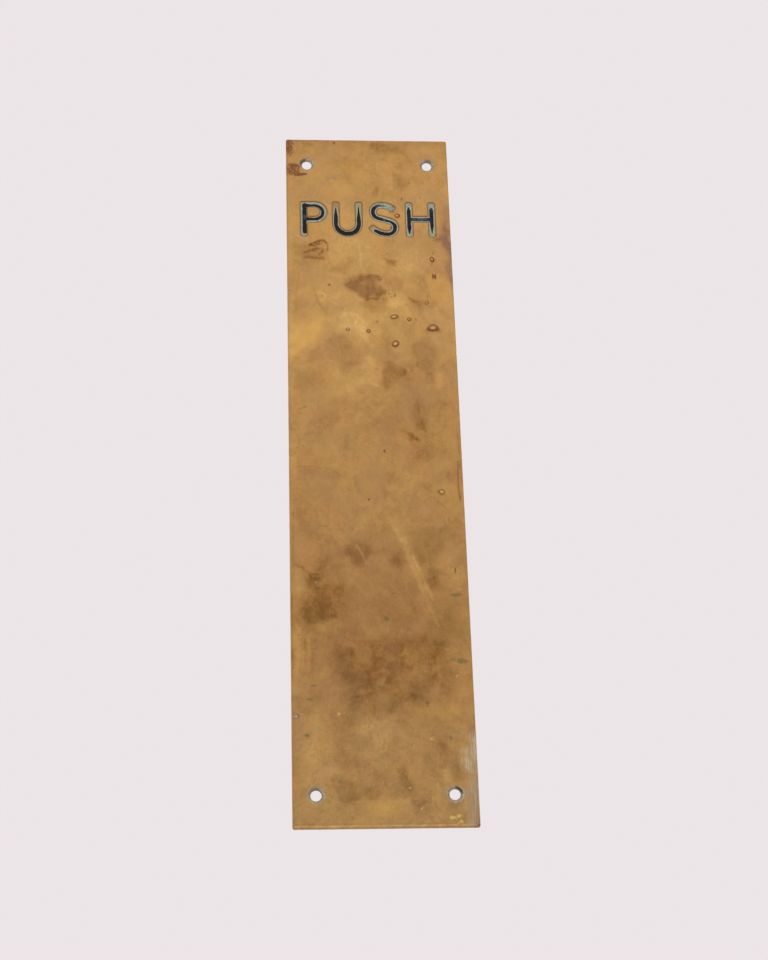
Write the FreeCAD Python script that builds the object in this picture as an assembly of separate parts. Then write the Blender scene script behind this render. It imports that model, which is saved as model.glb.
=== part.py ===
import FreeCAD
import Part
import math
import os

# Brass push plate for a door, with the legend PUSH engraved near its top.
# Millimetres. +X is right and +Z is up, seen from the front.
# The front face looks towards -Y. The origin is the centre of the back face.

os.makedirs("parts", exist_ok=True)

# ---- plate ----
INCH = 25.4
PLATE_WIDTH = 2.75 * INCH
PLATE_HEIGHT = 12.0 * INCH
PLATE_THICKNESS = 1.6
CORNER_R = 0.8
FRONT_EDGE_R = 0.4

# ---- screw holes, countersunk from the front ----
HOLE_SPACING_X = 52.0
HOLE_SPACING_Z = 11.0 * INCH
HOLE_R = 2.1
COUNTERSINK_R = 3.2
COUNTERSINK_HALF_ANGLE = math.radians(45.0)

# ---- engraving, cut by a small conical cutter ----
STROKE_WIDTH = 3.3
GROOVE_DEPTH = 0.8
CUTTER_FACE_R = 1.1
CUTTER_TIP_R = 0.1
ENAMEL_TOP_DEPTH = 0.35
OVERCUT = 0.2

# ---- legend ----
LEGEND_CENTRE_Z = 112.0
LETTER_HEIGHT = 17.6

P_STEM_X = -27.6
P_BOWL_R = 3.7
P_BOWL_CENTRE_X = -22.8

U_LEFT_X = -13.9
U_RIGHT_X = -4.15

S_LEFT_X = 1.95
S_RIGHT_X = 11.35
S_LOBE_R = 3.3
S_TAIL_R = 8.8
S_UPPER_TAIL_SWEEP = 36.0
S_LOWER_TAIL_SWEEP = 48.0

H_LEFT_X = 17.4
H_RIGHT_X = 27.1
H_BAR_RISE = 0.25

# ---- derived ----
FACE_Y = -PLATE_THICKNESS
FLOOR_Y = FACE_Y + GROOVE_DEPTH
CORE_HALF = STROKE_WIDTH / 2.0 - CUTTER_FACE_R
WALL_RUN = (CUTTER_FACE_R - CUTTER_TIP_R) / GROOVE_DEPTH
OVERCUT_Y = FACE_Y - OVERCUT
OVERCUT_R = CUTTER_FACE_R + OVERCUT * WALL_RUN
COUNTERSINK_DEPTH = (COUNTERSINK_R - HOLE_R) / math.tan(COUNTERSINK_HALF_ANGLE)

CORE_END_RISE = LETTER_HEIGHT / 2.0 - CUTTER_FACE_R
CORE_TOP_Z = LEGEND_CENTRE_Z + CORE_END_RISE
CORE_BOTTOM_Z = LEGEND_CENTRE_Z - CORE_END_RISE
BAR_RISE = LETTER_HEIGHT / 2.0 - STROKE_WIDTH / 2.0
BAR_TOP_Z = LEGEND_CENTRE_Z + BAR_RISE
BAR_BOTTOM_Z = LEGEND_CENTRE_Z - BAR_RISE

AXIS_Y = FreeCAD.Vector(0.0, 1.0, 0.0)
RIGHT = 0.0
UP = 90.0
LEFT = 180.0
DOWN = 270.0
HALF_TURN = 180.0


def on_plate(x, z, y=0.0):
    """A point given by its place on the plate and its depth."""
    return FreeCAD.Vector(x, y, z)


def heading(degrees):
    """A unit vector in the plane of the plate, 0 to the right and 90 up."""
    angle = math.radians(degrees)
    return FreeCAD.Vector(math.cos(angle), 0.0, math.sin(angle))


def fused(solids):
    """One clean solid from overlapping pieces."""
    whole = solids[0].multiFuse(solids[1:])
    return whole.removeSplitter()


# ---- cutter passes ----
def pass_section(centre, across, core_half):
    """The groove's cross-section at a point, square to the stroke."""
    face_half = core_half + OVERCUT_R
    floor_half = core_half + CUTTER_TIP_R
    face_centre = FreeCAD.Vector(centre.x, OVERCUT_Y, centre.z)
    floor_centre = FreeCAD.Vector(centre.x, FLOOR_Y, centre.z)
    corners = [
        face_centre - across * face_half,
        face_centre + across * face_half,
        floor_centre + across * floor_half,
        floor_centre - across * floor_half,
    ]
    outline = Part.makePolygon(corners + corners[:1])
    return Part.Face(outline)


def straight_pass(start, end, core_half=CORE_HALF):
    """A straight length of groove with open ends."""
    along = end - start
    across = along.cross(AXIS_Y)
    across.normalize()
    section = pass_section(start, across, core_half)
    return section.extrude(along)


def bend_pass(centre, radius, start_angle, sweep):
    """A length of groove bent around a centre."""
    outward = heading(start_angle)
    section = pass_section(centre + outward * radius, outward, CORE_HALF)
    # A positive turn about +Y runs clockwise seen from the front.
    return section.revolve(centre, AXIS_Y, -sweep)


def plunge(centre):
    """The cone left where the cutter stands still."""
    foot = FreeCAD.Vector(centre.x, OVERCUT_Y, centre.z)
    depth = FLOOR_Y - OVERCUT_Y
    return Part.makeCone(OVERCUT_R, CUTTER_TIP_R, depth, foot, AXIS_Y)


def stroke_end(centre, direction):
    """The closed end of a stroke, with its two rounded corners."""
    across = heading(direction + UP)
    first = centre - across * CORE_HALF
    second = centre + across * CORE_HALF
    link = straight_pass(first, second, 0.0)
    return [plunge(first), plunge(second), link]


def upright_stem(x):
    """A full-height vertical stroke, closed at both ends."""
    top = on_plate(x, CORE_TOP_Z)
    bottom = on_plate(x, CORE_BOTTOM_Z)
    body = straight_pass(bottom, top)
    return [body] + stroke_end(top, UP) + stroke_end(bottom, DOWN)


# ---- letters ----
def groove_p():
    bowl_z = BAR_TOP_Z - P_BOWL_R
    low_bar_z = bowl_z - P_BOWL_R
    bowl = on_plate(P_BOWL_CENTRE_X, bowl_z)
    high_bar = straight_pass(on_plate(P_STEM_X, BAR_TOP_Z), on_plate(P_BOWL_CENTRE_X, BAR_TOP_Z))
    low_bar = straight_pass(on_plate(P_STEM_X, low_bar_z), on_plate(P_BOWL_CENTRE_X, low_bar_z))
    bend = bend_pass(bowl, P_BOWL_R, DOWN, HALF_TURN)
    return fused(upright_stem(P_STEM_X) + [high_bar, low_bar, bend])


def groove_u():
    radius = (U_RIGHT_X - U_LEFT_X) / 2.0
    bend_centre = on_plate(U_LEFT_X + radius, BAR_BOTTOM_Z + radius)
    passes = [bend_pass(bend_centre, radius, LEFT, HALF_TURN)]
    for x in (U_LEFT_X, U_RIGHT_X):
        top = on_plate(x, CORE_TOP_Z)
        passes.append(straight_pass(on_plate(x, bend_centre.z), top))
        passes += stroke_end(top, UP)
    return fused(passes)


def s_spine_angle(upper, lower):
    """The heading of the straight that touches both lobes of the S."""
    between = lower - upper
    line_angle = math.degrees(math.atan2(between.z, between.x))
    tilt = math.degrees(math.asin(2.0 * S_LOBE_R / between.Length))
    return line_angle + tilt


def s_tail(start, hub_angle, sweep):
    """A shallow arc leaving one lobe of the S, closed at its far end."""
    centre = start - heading(hub_angle) * S_TAIL_R
    body = bend_pass(centre, S_TAIL_R, hub_angle, sweep)
    end_angle = hub_angle + sweep
    end = centre + heading(end_angle) * S_TAIL_R
    return [body] + stroke_end(end, end_angle - UP)


def groove_s():
    upper = on_plate(S_LEFT_X + S_LOBE_R, BAR_TOP_Z - S_LOBE_R)
    lower = on_plate(S_RIGHT_X - S_LOBE_R, BAR_BOTTOM_Z + S_LOBE_R)
    spine = s_spine_angle(upper, lower)
    lobe_sweep = HALF_TURN + spine
    upper_lobe = bend_pass(upper, S_LOBE_R, UP, lobe_sweep)
    lower_lobe = bend_pass(lower, S_LOBE_R, DOWN, lobe_sweep)
    leave_upper = upper - heading(spine + UP) * S_LOBE_R
    meet_lower = lower + heading(spine + UP) * S_LOBE_R
    passes = [upper_lobe, lower_lobe, straight_pass(leave_upper, meet_lower)]
    upper_start = on_plate(upper.x, BAR_TOP_Z)
    lower_start = on_plate(lower.x, BAR_BOTTOM_Z)
    passes += s_tail(upper_start, UP, -S_UPPER_TAIL_SWEEP)
    passes += s_tail(lower_start, DOWN, -S_LOWER_TAIL_SWEEP)
    return fused(passes)


def groove_h():
    bar_z = LEGEND_CENTRE_Z + H_BAR_RISE
    bar = straight_pass(on_plate(H_LEFT_X, bar_z), on_plate(H_RIGHT_X, bar_z))
    return fused(upright_stem(H_LEFT_X) + upright_stem(H_RIGHT_X) + [bar])


# ---- sub-parts ----
def blank():
    """The sheet with its corners rounded and its front edge eased."""
    corner = FreeCAD.Vector(-PLATE_WIDTH / 2.0, FACE_Y, -PLATE_HEIGHT / 2.0)
    sheet = Part.makeBox(PLATE_WIDTH, PLATE_THICKNESS, PLATE_HEIGHT, corner)
    corner_edges = []
    for edge in sheet.Edges:
        if edge.BoundBox.YLength > PLATE_THICKNESS / 2.0:
            corner_edges.append(edge)
    sheet = sheet.makeFillet(CORNER_R, corner_edges)
    front_edges = []
    for edge in sheet.Edges:
        if edge.BoundBox.YMax < FACE_Y + FRONT_EDGE_R / 2.0:
            front_edges.append(edge)
    return sheet.makeFillet(FRONT_EDGE_R, front_edges)


def screw_hole(x, z):
    """A through hole with a conical seat for a countersunk screw."""
    seat_rise = COUNTERSINK_DEPTH + OVERCUT
    mouth_r = COUNTERSINK_R + OVERCUT * math.tan(COUNTERSINK_HALF_ANGLE)
    mouth = on_plate(x, z, OVERCUT_Y)
    seat = Part.makeCone(mouth_r, HOLE_R, seat_rise, mouth, AXIS_Y)
    shank = Part.makeCylinder(HOLE_R, PLATE_THICKNESS + 2.0 * OVERCUT, mouth, AXIS_Y)
    return seat.fuse(shank)


def plate(grooves):
    body = blank()
    for side in (-1.0, 1.0):
        for end in (-1.0, 1.0):
            x = side * HOLE_SPACING_X / 2.0
            z = end * HOLE_SPACING_Z / 2.0
            body = body.cut(screw_hole(x, z))
    for groove in grooves:
        body = body.cut(groove)
    return body


def enamel(groove):
    """The black filling in the lower part of a letter's groove."""
    corner = FreeCAD.Vector(-PLATE_WIDTH / 2.0, FACE_Y + ENAMEL_TOP_DEPTH, 0.0)
    reach = GROOVE_DEPTH
    filled_zone = Part.makeBox(PLATE_WIDTH, reach, PLATE_HEIGHT / 2.0, corner)
    return groove.common(filled_zone)


def export(name, shape):
    """One closed solid per file."""
    solid = shape.Solids[0]
    if len(shape.Solids) != 1 or not solid.isValid():
        raise ValueError(name + " is not one valid solid")
    solid.exportStep("parts/" + name + ".step")
    box = solid.BoundBox
    size = (round(box.XLength, 3), round(box.YLength, 3), round(box.ZLength, 3))
    print(name, size, "volume", round(solid.Volume, 2))


letters = {"p": groove_p(), "u": groove_u(), "s": groove_s(), "h": groove_h()}
export("plate", plate(list(letters.values())))
for letter, groove in letters.items():
    export("enamel_" + letter, enamel(groove))
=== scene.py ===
import math

import bmesh
import bpy
import numpy as np
from mathutils import Matrix, Vector
from mathutils.geometry import delaunay_2d_cdt


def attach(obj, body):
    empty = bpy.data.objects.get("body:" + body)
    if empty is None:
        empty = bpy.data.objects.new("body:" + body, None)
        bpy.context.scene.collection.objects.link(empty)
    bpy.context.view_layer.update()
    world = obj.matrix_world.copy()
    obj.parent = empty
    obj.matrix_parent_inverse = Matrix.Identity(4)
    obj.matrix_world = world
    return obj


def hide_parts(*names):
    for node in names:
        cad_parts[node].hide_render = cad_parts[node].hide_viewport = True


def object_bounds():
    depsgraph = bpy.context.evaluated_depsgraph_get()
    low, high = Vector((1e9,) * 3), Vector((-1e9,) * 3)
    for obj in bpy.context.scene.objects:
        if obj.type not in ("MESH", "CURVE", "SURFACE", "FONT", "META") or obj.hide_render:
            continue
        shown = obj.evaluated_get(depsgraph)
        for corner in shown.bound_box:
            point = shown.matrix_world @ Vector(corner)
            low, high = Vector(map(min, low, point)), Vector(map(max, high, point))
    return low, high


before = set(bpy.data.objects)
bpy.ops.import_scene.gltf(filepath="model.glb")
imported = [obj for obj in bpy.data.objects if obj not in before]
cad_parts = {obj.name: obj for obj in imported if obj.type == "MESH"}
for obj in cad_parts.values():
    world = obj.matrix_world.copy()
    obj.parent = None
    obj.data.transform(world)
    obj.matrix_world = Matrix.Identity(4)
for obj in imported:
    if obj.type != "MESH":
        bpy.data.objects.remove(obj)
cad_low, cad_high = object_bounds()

# An old brass push plate. Lengths are in millimetres until a mesh is made, then metres.
# +X is right and +Z is up seen from the front; the front face looks towards -Y.
MM = 0.001

# ---- plate: its outline comes from the frame, its details are as in the CAD part ----
PLATE_HALF_W = round(cad_high[0] / MM, 3)
PLATE_HALF_H = round(cad_high[2] / MM, 3)
THICKNESS = round(-cad_low[1] / MM, 3)
CORNER_R = 0.8
FRONT_EDGE_R = 0.4
BACK_EDGE = 0.08
HOLE_X = 26.0
HOLE_Z = 139.7
HOLE_R = 2.1
# A bore widens by this much in radius, over this depth, where it meets the back.
HOLE_EASE = 0.06
HOLE_EASE_DEPTH = 0.07
SEAT_R = 3.2
SEAT_DEPTH = 1.1
# Distance from a screw hole's middle, and the depth of its seat there.
SEAT_PROFILE = [(HOLE_R, SEAT_DEPTH), (3.08, 0.12), (SEAT_R, 0.045), (3.34, 0.01), (3.6, 0.0)]

# ---- engraving, as in the CAD part ----
CORE_HALF = 0.55
GROOVE_DEPTH = 0.8
CORE_TOP = 119.7
CORE_BOTTOM = 104.3
BAR_TOP = 119.15
BAR_BOTTOM = 104.85
# The part of the face that the letters lie in: lowest and highest x, lowest and highest z.
LEGEND_AREA = (-31.0, 31.0, 102.0, 122.0)
# Distance from a stroke's core, and the depth there: the cutter's slope with its rim eased.
GROOVE_PROFILE = [(0.0, GROOVE_DEPTH), (0.12, 0.75), (0.96, 0.13), (1.08, 0.055), (1.18, 0.015), (1.34, 0.0)]

# ---- mesh density: grid spacings, and where rings of points lie ----
FRONT_GRID = 0.62
BACK_GRID = 1.7
FLOOR_GRID = 0.3
ENAMEL_GRID = 0.26
CRUST_GRID = 0.19
HOLE_SIDES = 56
SEAT_RINGS = (2.3, 2.6, 2.9, 3.08, 3.2, 3.34, 3.6, 3.95)
GROOVE_RINGS = (0.12, 0.4, 0.68, 0.96, 1.08, 1.18, 1.34, 1.6)
DENT_RINGS = (0.0, 0.25, 0.5, 0.72, 0.88, 1.0, 1.12, 1.3, 1.5)
# How far the plain grid keeps from the holes' middles, the strokes' cores and the eased edge.
CLEAR_OF_HOLE = 4.2
CLEAR_OF_STROKE = 1.75
CLEAR_OF_EDGE = 0.45
# Points nearer together than about this count as one.
SAME_POINT = 0.07


# ======================================================================
# Smooth lattice noise, the same on every run
# ======================================================================
def lattice(ix, iz, seed):
    """A repeatable number from 0 to 1 for each whole-number lattice point."""
    n = (ix * 374761393 + iz * 668265263 + seed * 1442695041) & 0xFFFFFFFF
    n = ((n ^ (n >> 13)) * 1274126177) & 0xFFFFFFFF
    return ((n ^ (n >> 16)) & 0xFFFF) / 65535.0


def value_noise(x, z, size, seed):
    """Noise from -1 to 1 whose bumps are about `size` mm across."""
    u, v = np.asarray(x) / size, np.asarray(z) / size
    iu, iv = np.floor(u).astype(np.int64), np.floor(v).astype(np.int64)
    fu, fv = u - iu, v - iv
    fu, fv = fu * fu * (3 - 2 * fu), fv * fv * (3 - 2 * fv)
    low = lattice(iu, iv, seed) * (1 - fu) + lattice(iu + 1, iv, seed) * fu
    high = lattice(iu, iv + 1, seed) * (1 - fu) + lattice(iu + 1, iv + 1, seed) * fu
    return 2 * (low * (1 - fv) + high * fv) - 1


def cloud(x, z, size, seed, octaves=3):
    """Several layers of noise, each half the size and half the strength."""
    total = 0.0
    for i in range(octaves):
        total = total + value_noise(x, z, size / 2**i, seed + 17 * i) / 2**i
    return total / 1.6


def rough(x, z, *layers):
    """Noise in layers, each given as its strength, size and seed."""
    return sum(strength * value_noise(x, z, size, seed) for strength, size, seed in layers)


def smooth(value, low, high):
    """An eased rise from 0 at low to 1 at high."""
    t = np.clip((value - low) / (high - low), 0.0, 1.0)
    return t * t * (3 - 2 * t)


def profile(points, at):
    """The height of a line through points, read off at each place."""
    return np.interp(at, *zip(*points))


# ======================================================================
# Letter strokes: each is a core strip, and the groove is what lies within
# the cutter's reach of it
# ======================================================================
def line_core(x0, z0, x1, z1):
    return ("line", x0, z0, x1, z1)


def arc_core(cx, cz, radius, start, sweep):
    return ("arc", cx, cz, radius, start, sweep)


def s_cores():
    """The S: two lobes joined by a straight spine that touches both, and two flatter tails."""
    lobe_r, tail_r = 3.3, 8.8
    ux, uz = 1.95 + lobe_r, BAR_TOP - lobe_r
    lx, lz = 11.35 - lobe_r, BAR_BOTTOM + lobe_r
    gap = math.hypot(lx - ux, lz - uz)
    spine = math.degrees(math.atan2(lz - uz, lx - ux) + math.asin(2 * lobe_r / gap))
    nx = math.cos(math.radians(spine + 90.0)) * lobe_r
    nz = math.sin(math.radians(spine + 90.0)) * lobe_r
    return [
        arc_core(ux, uz, lobe_r, 90.0, 180.0 + spine),
        arc_core(lx, lz, lobe_r, 270.0, 180.0 + spine),
        line_core(ux - nx, uz - nz, lx + nx, lz + nz),
        arc_core(ux, BAR_TOP - tail_r, tail_r, 90.0, -36.0),
        arc_core(lx, BAR_BOTTOM + tail_r, tail_r, 270.0, -48.0),
    ]


P_STEM, P_BOWL, P_BOWL_R = -27.6, -22.8, 3.7
U_LEFT, U_RIGHT, U_BOWL, U_BOWL_R = -13.9, -4.15, -9.025, 4.875
H_LEFT, H_RIGHT, H_BAR = 17.4, 27.1, 112.25
LETTERS = {
    "p": [
        line_core(P_STEM, CORE_BOTTOM, P_STEM, CORE_TOP),
        line_core(P_STEM, BAR_TOP, P_BOWL, BAR_TOP),
        line_core(P_STEM, BAR_TOP - 2 * P_BOWL_R, P_BOWL, BAR_TOP - 2 * P_BOWL_R),
        arc_core(P_BOWL, BAR_TOP - P_BOWL_R, P_BOWL_R, 270.0, 180.0),
    ],
    "u": [
        line_core(U_LEFT, BAR_BOTTOM + U_BOWL_R, U_LEFT, CORE_TOP),
        line_core(U_RIGHT, BAR_BOTTOM + U_BOWL_R, U_RIGHT, CORE_TOP),
        arc_core(U_BOWL, BAR_BOTTOM + U_BOWL_R, U_BOWL_R, 180.0, 180.0),
    ],
    "s": s_cores(),
    "h": [
        line_core(H_LEFT, CORE_BOTTOM, H_LEFT, CORE_TOP),
        line_core(H_RIGHT, CORE_BOTTOM, H_RIGHT, CORE_TOP),
        line_core(H_LEFT, H_BAR, H_RIGHT, H_BAR),
    ],
}


def core_frame(core, x, z):
    """Distance along past the core's ends (0 inside) and signed distance across it."""
    if core[0] == "line":
        _, x0, z0, x1, z1 = core
        length = math.hypot(x1 - x0, z1 - z0)
        ax, az = (x1 - x0) / length, (z1 - z0) / length
        along = (x - x0) * ax + (z - z0) * az
        across = (x - x0) * az - (z - z0) * ax
        return np.maximum(np.maximum(-along, along - length), 0.0), across
    _, cx, cz, radius, start, sweep = core
    middle, half = start + sweep / 2, abs(sweep) / 2
    angle = np.degrees(np.arctan2(z - cz, x - cx)) - middle
    angle = (angle + 180.0) % 360.0 - 180.0
    reach = np.hypot(x - cx, z - cz)
    over = np.radians(np.maximum(np.abs(angle) - half, 0.0))
    past = np.where(over < math.pi / 2, reach * np.sin(np.minimum(over, math.pi / 2)), reach)
    across = np.where(over > 0.0, reach * np.cos(over) - radius, reach - radius)
    return past, across


def core_distance(cores, x, z, half=CORE_HALF):
    """Distance from the nearest core strip, 0 inside it."""
    best = np.full(np.shape(x), 1e9)
    for core in cores:
        past, across = core_frame(core, x, z)
        best = np.minimum(best, np.hypot(past, np.maximum(np.abs(across) - half, 0.0)))
    return best


def line_outline(core, reach, step, corner):
    """Points all round a straight core strip at a distance from it."""
    points = []
    _, x0, z0, x1, z1 = core
    length = math.hypot(x1 - x0, z1 - z0)
    ax, az = (x1 - x0) / length, (z1 - z0) / length

    def put(s, t):
        points.append((x0 + ax * s + az * t, z0 + az * s - ax * t))

    for side in (-1, 1):
        for s in np.linspace(0.0, length, max(2, int(length / step)) + 1):
            put(s, side * (CORE_HALF + reach))
    for end, sign in ((0.0, -1), (length, 1)):
        for t in np.linspace(-CORE_HALF, CORE_HALF, 5):
            put(end + sign * reach, t)
        for side in (-1, 1):
            for a in corner:
                put(end + sign * reach * math.cos(a), side * (CORE_HALF + reach * math.sin(a)))
    return points


def arc_outline(core, reach, step, corner):
    """Points all round a curved core strip at a distance from it."""
    points = []
    _, cx, cz, radius, start, sweep = core
    for r in (radius - CORE_HALF - reach, radius + CORE_HALF + reach):
        count = max(4, int(abs(math.radians(sweep)) * r / step))
        for a in np.radians(np.linspace(start, start + sweep, count + 1)):
            points.append((cx + r * math.cos(a), cz + r * math.sin(a)))
    turn = math.copysign(1.0, sweep)
    for end, sign in ((math.radians(start), -turn), (math.radians(start + sweep), turn)):
        ox, oz = math.cos(end), math.sin(end)
        tx, tz = -oz * sign, ox * sign
        for t in np.linspace(-CORE_HALF, CORE_HALF, 5):
            points.append((cx + ox * (radius + t) + tx * reach, cz + oz * (radius + t) + tz * reach))
        for side in (-1, 1):
            for a in corner:
                r = radius + side * (CORE_HALF + reach * math.sin(a))
                s = reach * math.cos(a)
                points.append((cx + ox * r + tx * s, cz + oz * r + tz * s))
    return points


def core_outline(core, reach, step):
    """Points all round one core strip at a distance from it."""
    corner = np.linspace(0.0, math.pi / 2, max(3, int(reach * 1.6 / step) + 1))[1:-1]
    drawn = line_outline if core[0] == "line" else arc_outline
    return drawn(core, reach, step, corner)


def all_cores():
    return [core for cores in LETTERS.values() for core in cores]


def groove_depth(d):
    """Depth of the groove's wall at a distance from the core."""
    return profile(GROOVE_PROFILE, d)


# ======================================================================
# Dents in the front face: x, z, half width, half height, depth, tilt, how
# much narrower the top is, how dark the ring round the rim is (dirt with
# painted shade), how bright the painted highlight in the middle is
# ======================================================================
DENTS = [
    (9.5, 64.4, 1.70, 1.10, 0.34, 10, 0.0, 0.85, 0.60),
    (15.7, 63.2, 0.85, 0.90, 0.20, 0, 0.0, 1.05, 0.20),
    (25.5, 59.2, 2.25, 1.70, 0.38, 2, 0.40, 0.95, 0.50),
    (9.7, 51.6, 1.55, 1.45, 0.38, 18, 0.0, 0.95, 0.85),
    (26.0, -15.8, 1.40, 1.30, 0.34, -28, 0.0, 0.65, 0.75),
    (26.4, 92.4, 0.85, 1.30, 0.20, 8, 0.0, 1.25, 0.45),
    (26.9, 83.8, 0.95, 1.20, 0.12, 0, 0.0, 0.0, 0.0),
    (3.9, 82.8, 0.85, 0.95, 0.12, 0, 0.0, 0.60, 0.15),
    (23.4, 71.3, 0.95, 1.05, 0.12, 0, 0.0, 0.65, 0.15),
    (-10.0, 58.3, 0.85, 0.75, 0.16, 0, 0.0, 0.95, 0.10),
    (-1.4, 57.6, 0.85, 0.90, 0.18, 0, 0.0, 1.00, 0.10),
    (12.3, 113.9, 1.10, 1.05, 0.12, 30, 0.0, 1.20, 0.10),
    (3.7, 2.3, 0.45, 0.80, 0.10, 0, 0.0, 0.50, 0.0),
    (-17.4, 79.6, 0.75, 0.65, 0.06, 0, 0.0, 0.45, 0.0),
    (-33.2, -109.0, 1.30, 0.90, 0.16, 0, 0.0, 0.50, 0.0),
    (2.2, 61.8, 0.60, 0.40, 0.05, 20, 0.0, 0.50, 0.0),
    (-24.9, -54.4, 0.90, 0.60, 0.10, 0, 0.0, 0.20, 0.0),
    (-25.2, -51.6, 0.80, 0.40, 0.08, 0, 0.0, 0.25, 0.0),
]


def dent_place(x, z, dent):
    """Place within one dent: across, up, and distance out, 1 at its uneven rim."""
    cx, cz, rx, rz, _, tilt, taper, _, _ = dent
    a = math.radians(tilt)
    u = ((x - cx) * math.cos(a) + (z - cz) * math.sin(a)) / rx
    v = (-(x - cx) * math.sin(a) + (z - cz) * math.cos(a)) / rz
    u = u * (1 + taper * v)
    return u, v, np.hypot(u, v) + rough(x, z, (0.11, 1.2, 5), (0.05, 0.55, 6))


def dent_relief(x, z):
    """Depth of the dents, with the metal they pushed up round their rims."""
    total = np.zeros(np.shape(x))
    for dent in DENTS:
        depth = dent[4]
        q = dent_place(x, z, dent)[2]
        bowl = np.where(q < 1.0, (1.0 - np.clip(q, 0, 1) ** 2) ** 1.3, 0.0)
        lip = np.exp(-(((q - 1.12) / 0.2) ** 2))
        total += depth * bowl - 0.16 * depth * lip
    return total


def holes():
    """The screw holes' middles, in the order low left, high left, low right, high right."""
    return [(sx * HOLE_X, sz * HOLE_Z) for sx in (-1, 1) for sz in (-1, 1)]


def front_relief(x, z):
    """How far the front surface lies below the flat of the face, in mm."""
    relief = 0.028 * (1 + cloud(x, z, 46.0, 3, 2)) + 0.006 * (1 + value_noise(x, z, 7.0, 9))
    relief = relief + dent_relief(x, z)
    relief = relief + groove_depth(core_distance(all_cores(), x, z))
    for hx, hz in holes():
        relief = relief + profile(SEAT_PROFILE, np.hypot(x - hx, z - hz))
    return relief


# ======================================================================
# Plate mesh
# ======================================================================
def outline(inset):
    """The plate's rounded outline, always with the same number of points."""
    points = []
    r = CORNER_R - inset
    w, h = PLATE_HALF_W - CORNER_R, PLATE_HALF_H - CORNER_R
    sides = [(w, -h, 0.0, 1.0, 2 * h, 0.0), (w, h, -1.0, 0.0, 2 * w, 90.0)]
    sides += [(-w, h, 0.0, -1.0, 2 * h, 180.0), (-w, -h, 1.0, 0.0, 2 * w, 270.0)]
    for x0, z0, ax, az, length, normal in sides:
        nx, nz = math.cos(math.radians(normal)), math.sin(math.radians(normal))
        count = int(round(length / FRONT_GRID))
        for s in np.linspace(0.0, length, count + 1):
            points.append((x0 + ax * s + nx * r, z0 + az * s + nz * r))
        cx, cz = x0 + ax * length, z0 + az * length
        for a in np.radians(normal + np.linspace(0.0, 90.0, 7)[1:-1]):
            points.append((cx + r * math.cos(a), cz + r * math.sin(a)))
    return np.array(points)


def ring(cx, cz, radius, sides=HOLE_SIDES):
    """Points evenly round a circle."""
    a = np.linspace(0.0, 2 * math.pi, sides, endpoint=False)
    return np.column_stack([cx + radius * np.cos(a), cz + radius * np.sin(a)])


def clear_of_holes(points, gap):
    """Which points lie further than a gap from every screw hole's middle."""
    keep = np.full(len(points), True)
    for hx, hz in holes():
        keep &= np.hypot(points[:, 0] - hx, points[:, 1] - hz) > gap
    return keep


def lifted(flat, y):
    """Points of the face's plane, each at its own y."""
    return np.column_stack([flat[:, 0], np.broadcast_to(y, len(flat)), flat[:, 1]])


def grid(spacing, low_x, high_x, low_z, high_z):
    """Rows of points, every other row moved along by half a space."""
    nx = int(round((high_x - low_x) / spacing))
    nz = int(round((high_z - low_z) / spacing))
    gx, gz = np.meshgrid(np.linspace(low_x, high_x, nx + 1), np.linspace(low_z, high_z, nz + 1))
    gx = gx + (np.arange(nz + 1) % 2)[:, None] * spacing * 0.5
    return np.column_stack([gx.ravel(), gz.ravel()])


def triangulate(points, loops):
    """Triangles over the points; each loop is a run of point numbers that must be edges."""
    edges = []
    for first, count in loops:
        edges += [(first + i, first + (i + 1) % count) for i in range(count)]
    vectors = [Vector((float(p[0]), float(p[1]))) for p in points]
    out = delaunay_2d_cdt(vectors, edges, [], 0, 1e-7, True)
    source = np.array([o[0] if o else -1 for o in out[3]])
    triangles = source[np.array(out[2])]
    return triangles[(triangles >= 0).all(axis=1)]


def drop_inside(triangles, first, count):
    """Removes the triangles that span a hole's ring."""
    inside = ((triangles >= first) & (triangles < first + count)).all(axis=1)
    return triangles[~inside]


def feature_points():
    """Rings of points round the holes, the strokes and the dents."""
    extra = [ring(hx, hz, r) for hx, hz in holes() for r in SEAT_RINGS]
    for core in all_cores():
        for reach in GROOVE_RINGS:
            points = np.array(core_outline(core, reach, 0.28))
            d = core_distance(all_cores(), points[:, 0], points[:, 1])
            extra.append(points[d > reach - 0.02])
    for cx, cz, rx, rz, _, tilt, *_ in DENTS:
        a = math.radians(tilt)
        for q in DENT_RINGS:
            count = max(1, int(2 * math.pi * q * max(rx, rz) / 0.22))
            t = np.linspace(0.0, 2 * math.pi, count, endpoint=False)
            u, v = rx * q * np.cos(t), rz * q * np.sin(t)
            x = cx + u * math.cos(a) - v * math.sin(a)
            z = cz + u * math.sin(a) + v * math.cos(a)
            extra.append(np.column_stack([x, z]))
    return np.vstack(extra)


def front_points():
    """Every point of the front surface but its outline and hole rings."""
    edge_x, edge_z = PLATE_HALF_W - FRONT_EDGE_R, PLATE_HALF_H - FRONT_EDGE_R
    extra = feature_points()
    extra = extra[np.abs(extra[:, 0]) < edge_x - 0.1]
    w, h = edge_x - CLEAR_OF_EDGE, edge_z - CLEAR_OF_EDGE
    plain = grid(FRONT_GRID, -w, w - FRONT_GRID * 0.5, -h, h)
    x, z = plain[:, 0], plain[:, 1]
    keep = clear_of_holes(plain, CLEAR_OF_HOLE) & (core_distance(all_cores(), x, z) > CLEAR_OF_STROKE)
    for cx, cz, rx, rz, *_ in DENTS:
        keep &= np.hypot((x - cx) / (rx * 1.5 + 0.2), (z - cz) / (rz * 1.5 + 0.2)) > 1.0
    floor = grid(FLOOR_GRID, *LEGEND_AREA)
    d = core_distance(all_cores(), floor[:, 0], floor[:, 1])
    return thinned(np.vstack([extra, floor[d < 0.01], plain[keep]]), SAME_POINT)


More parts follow.
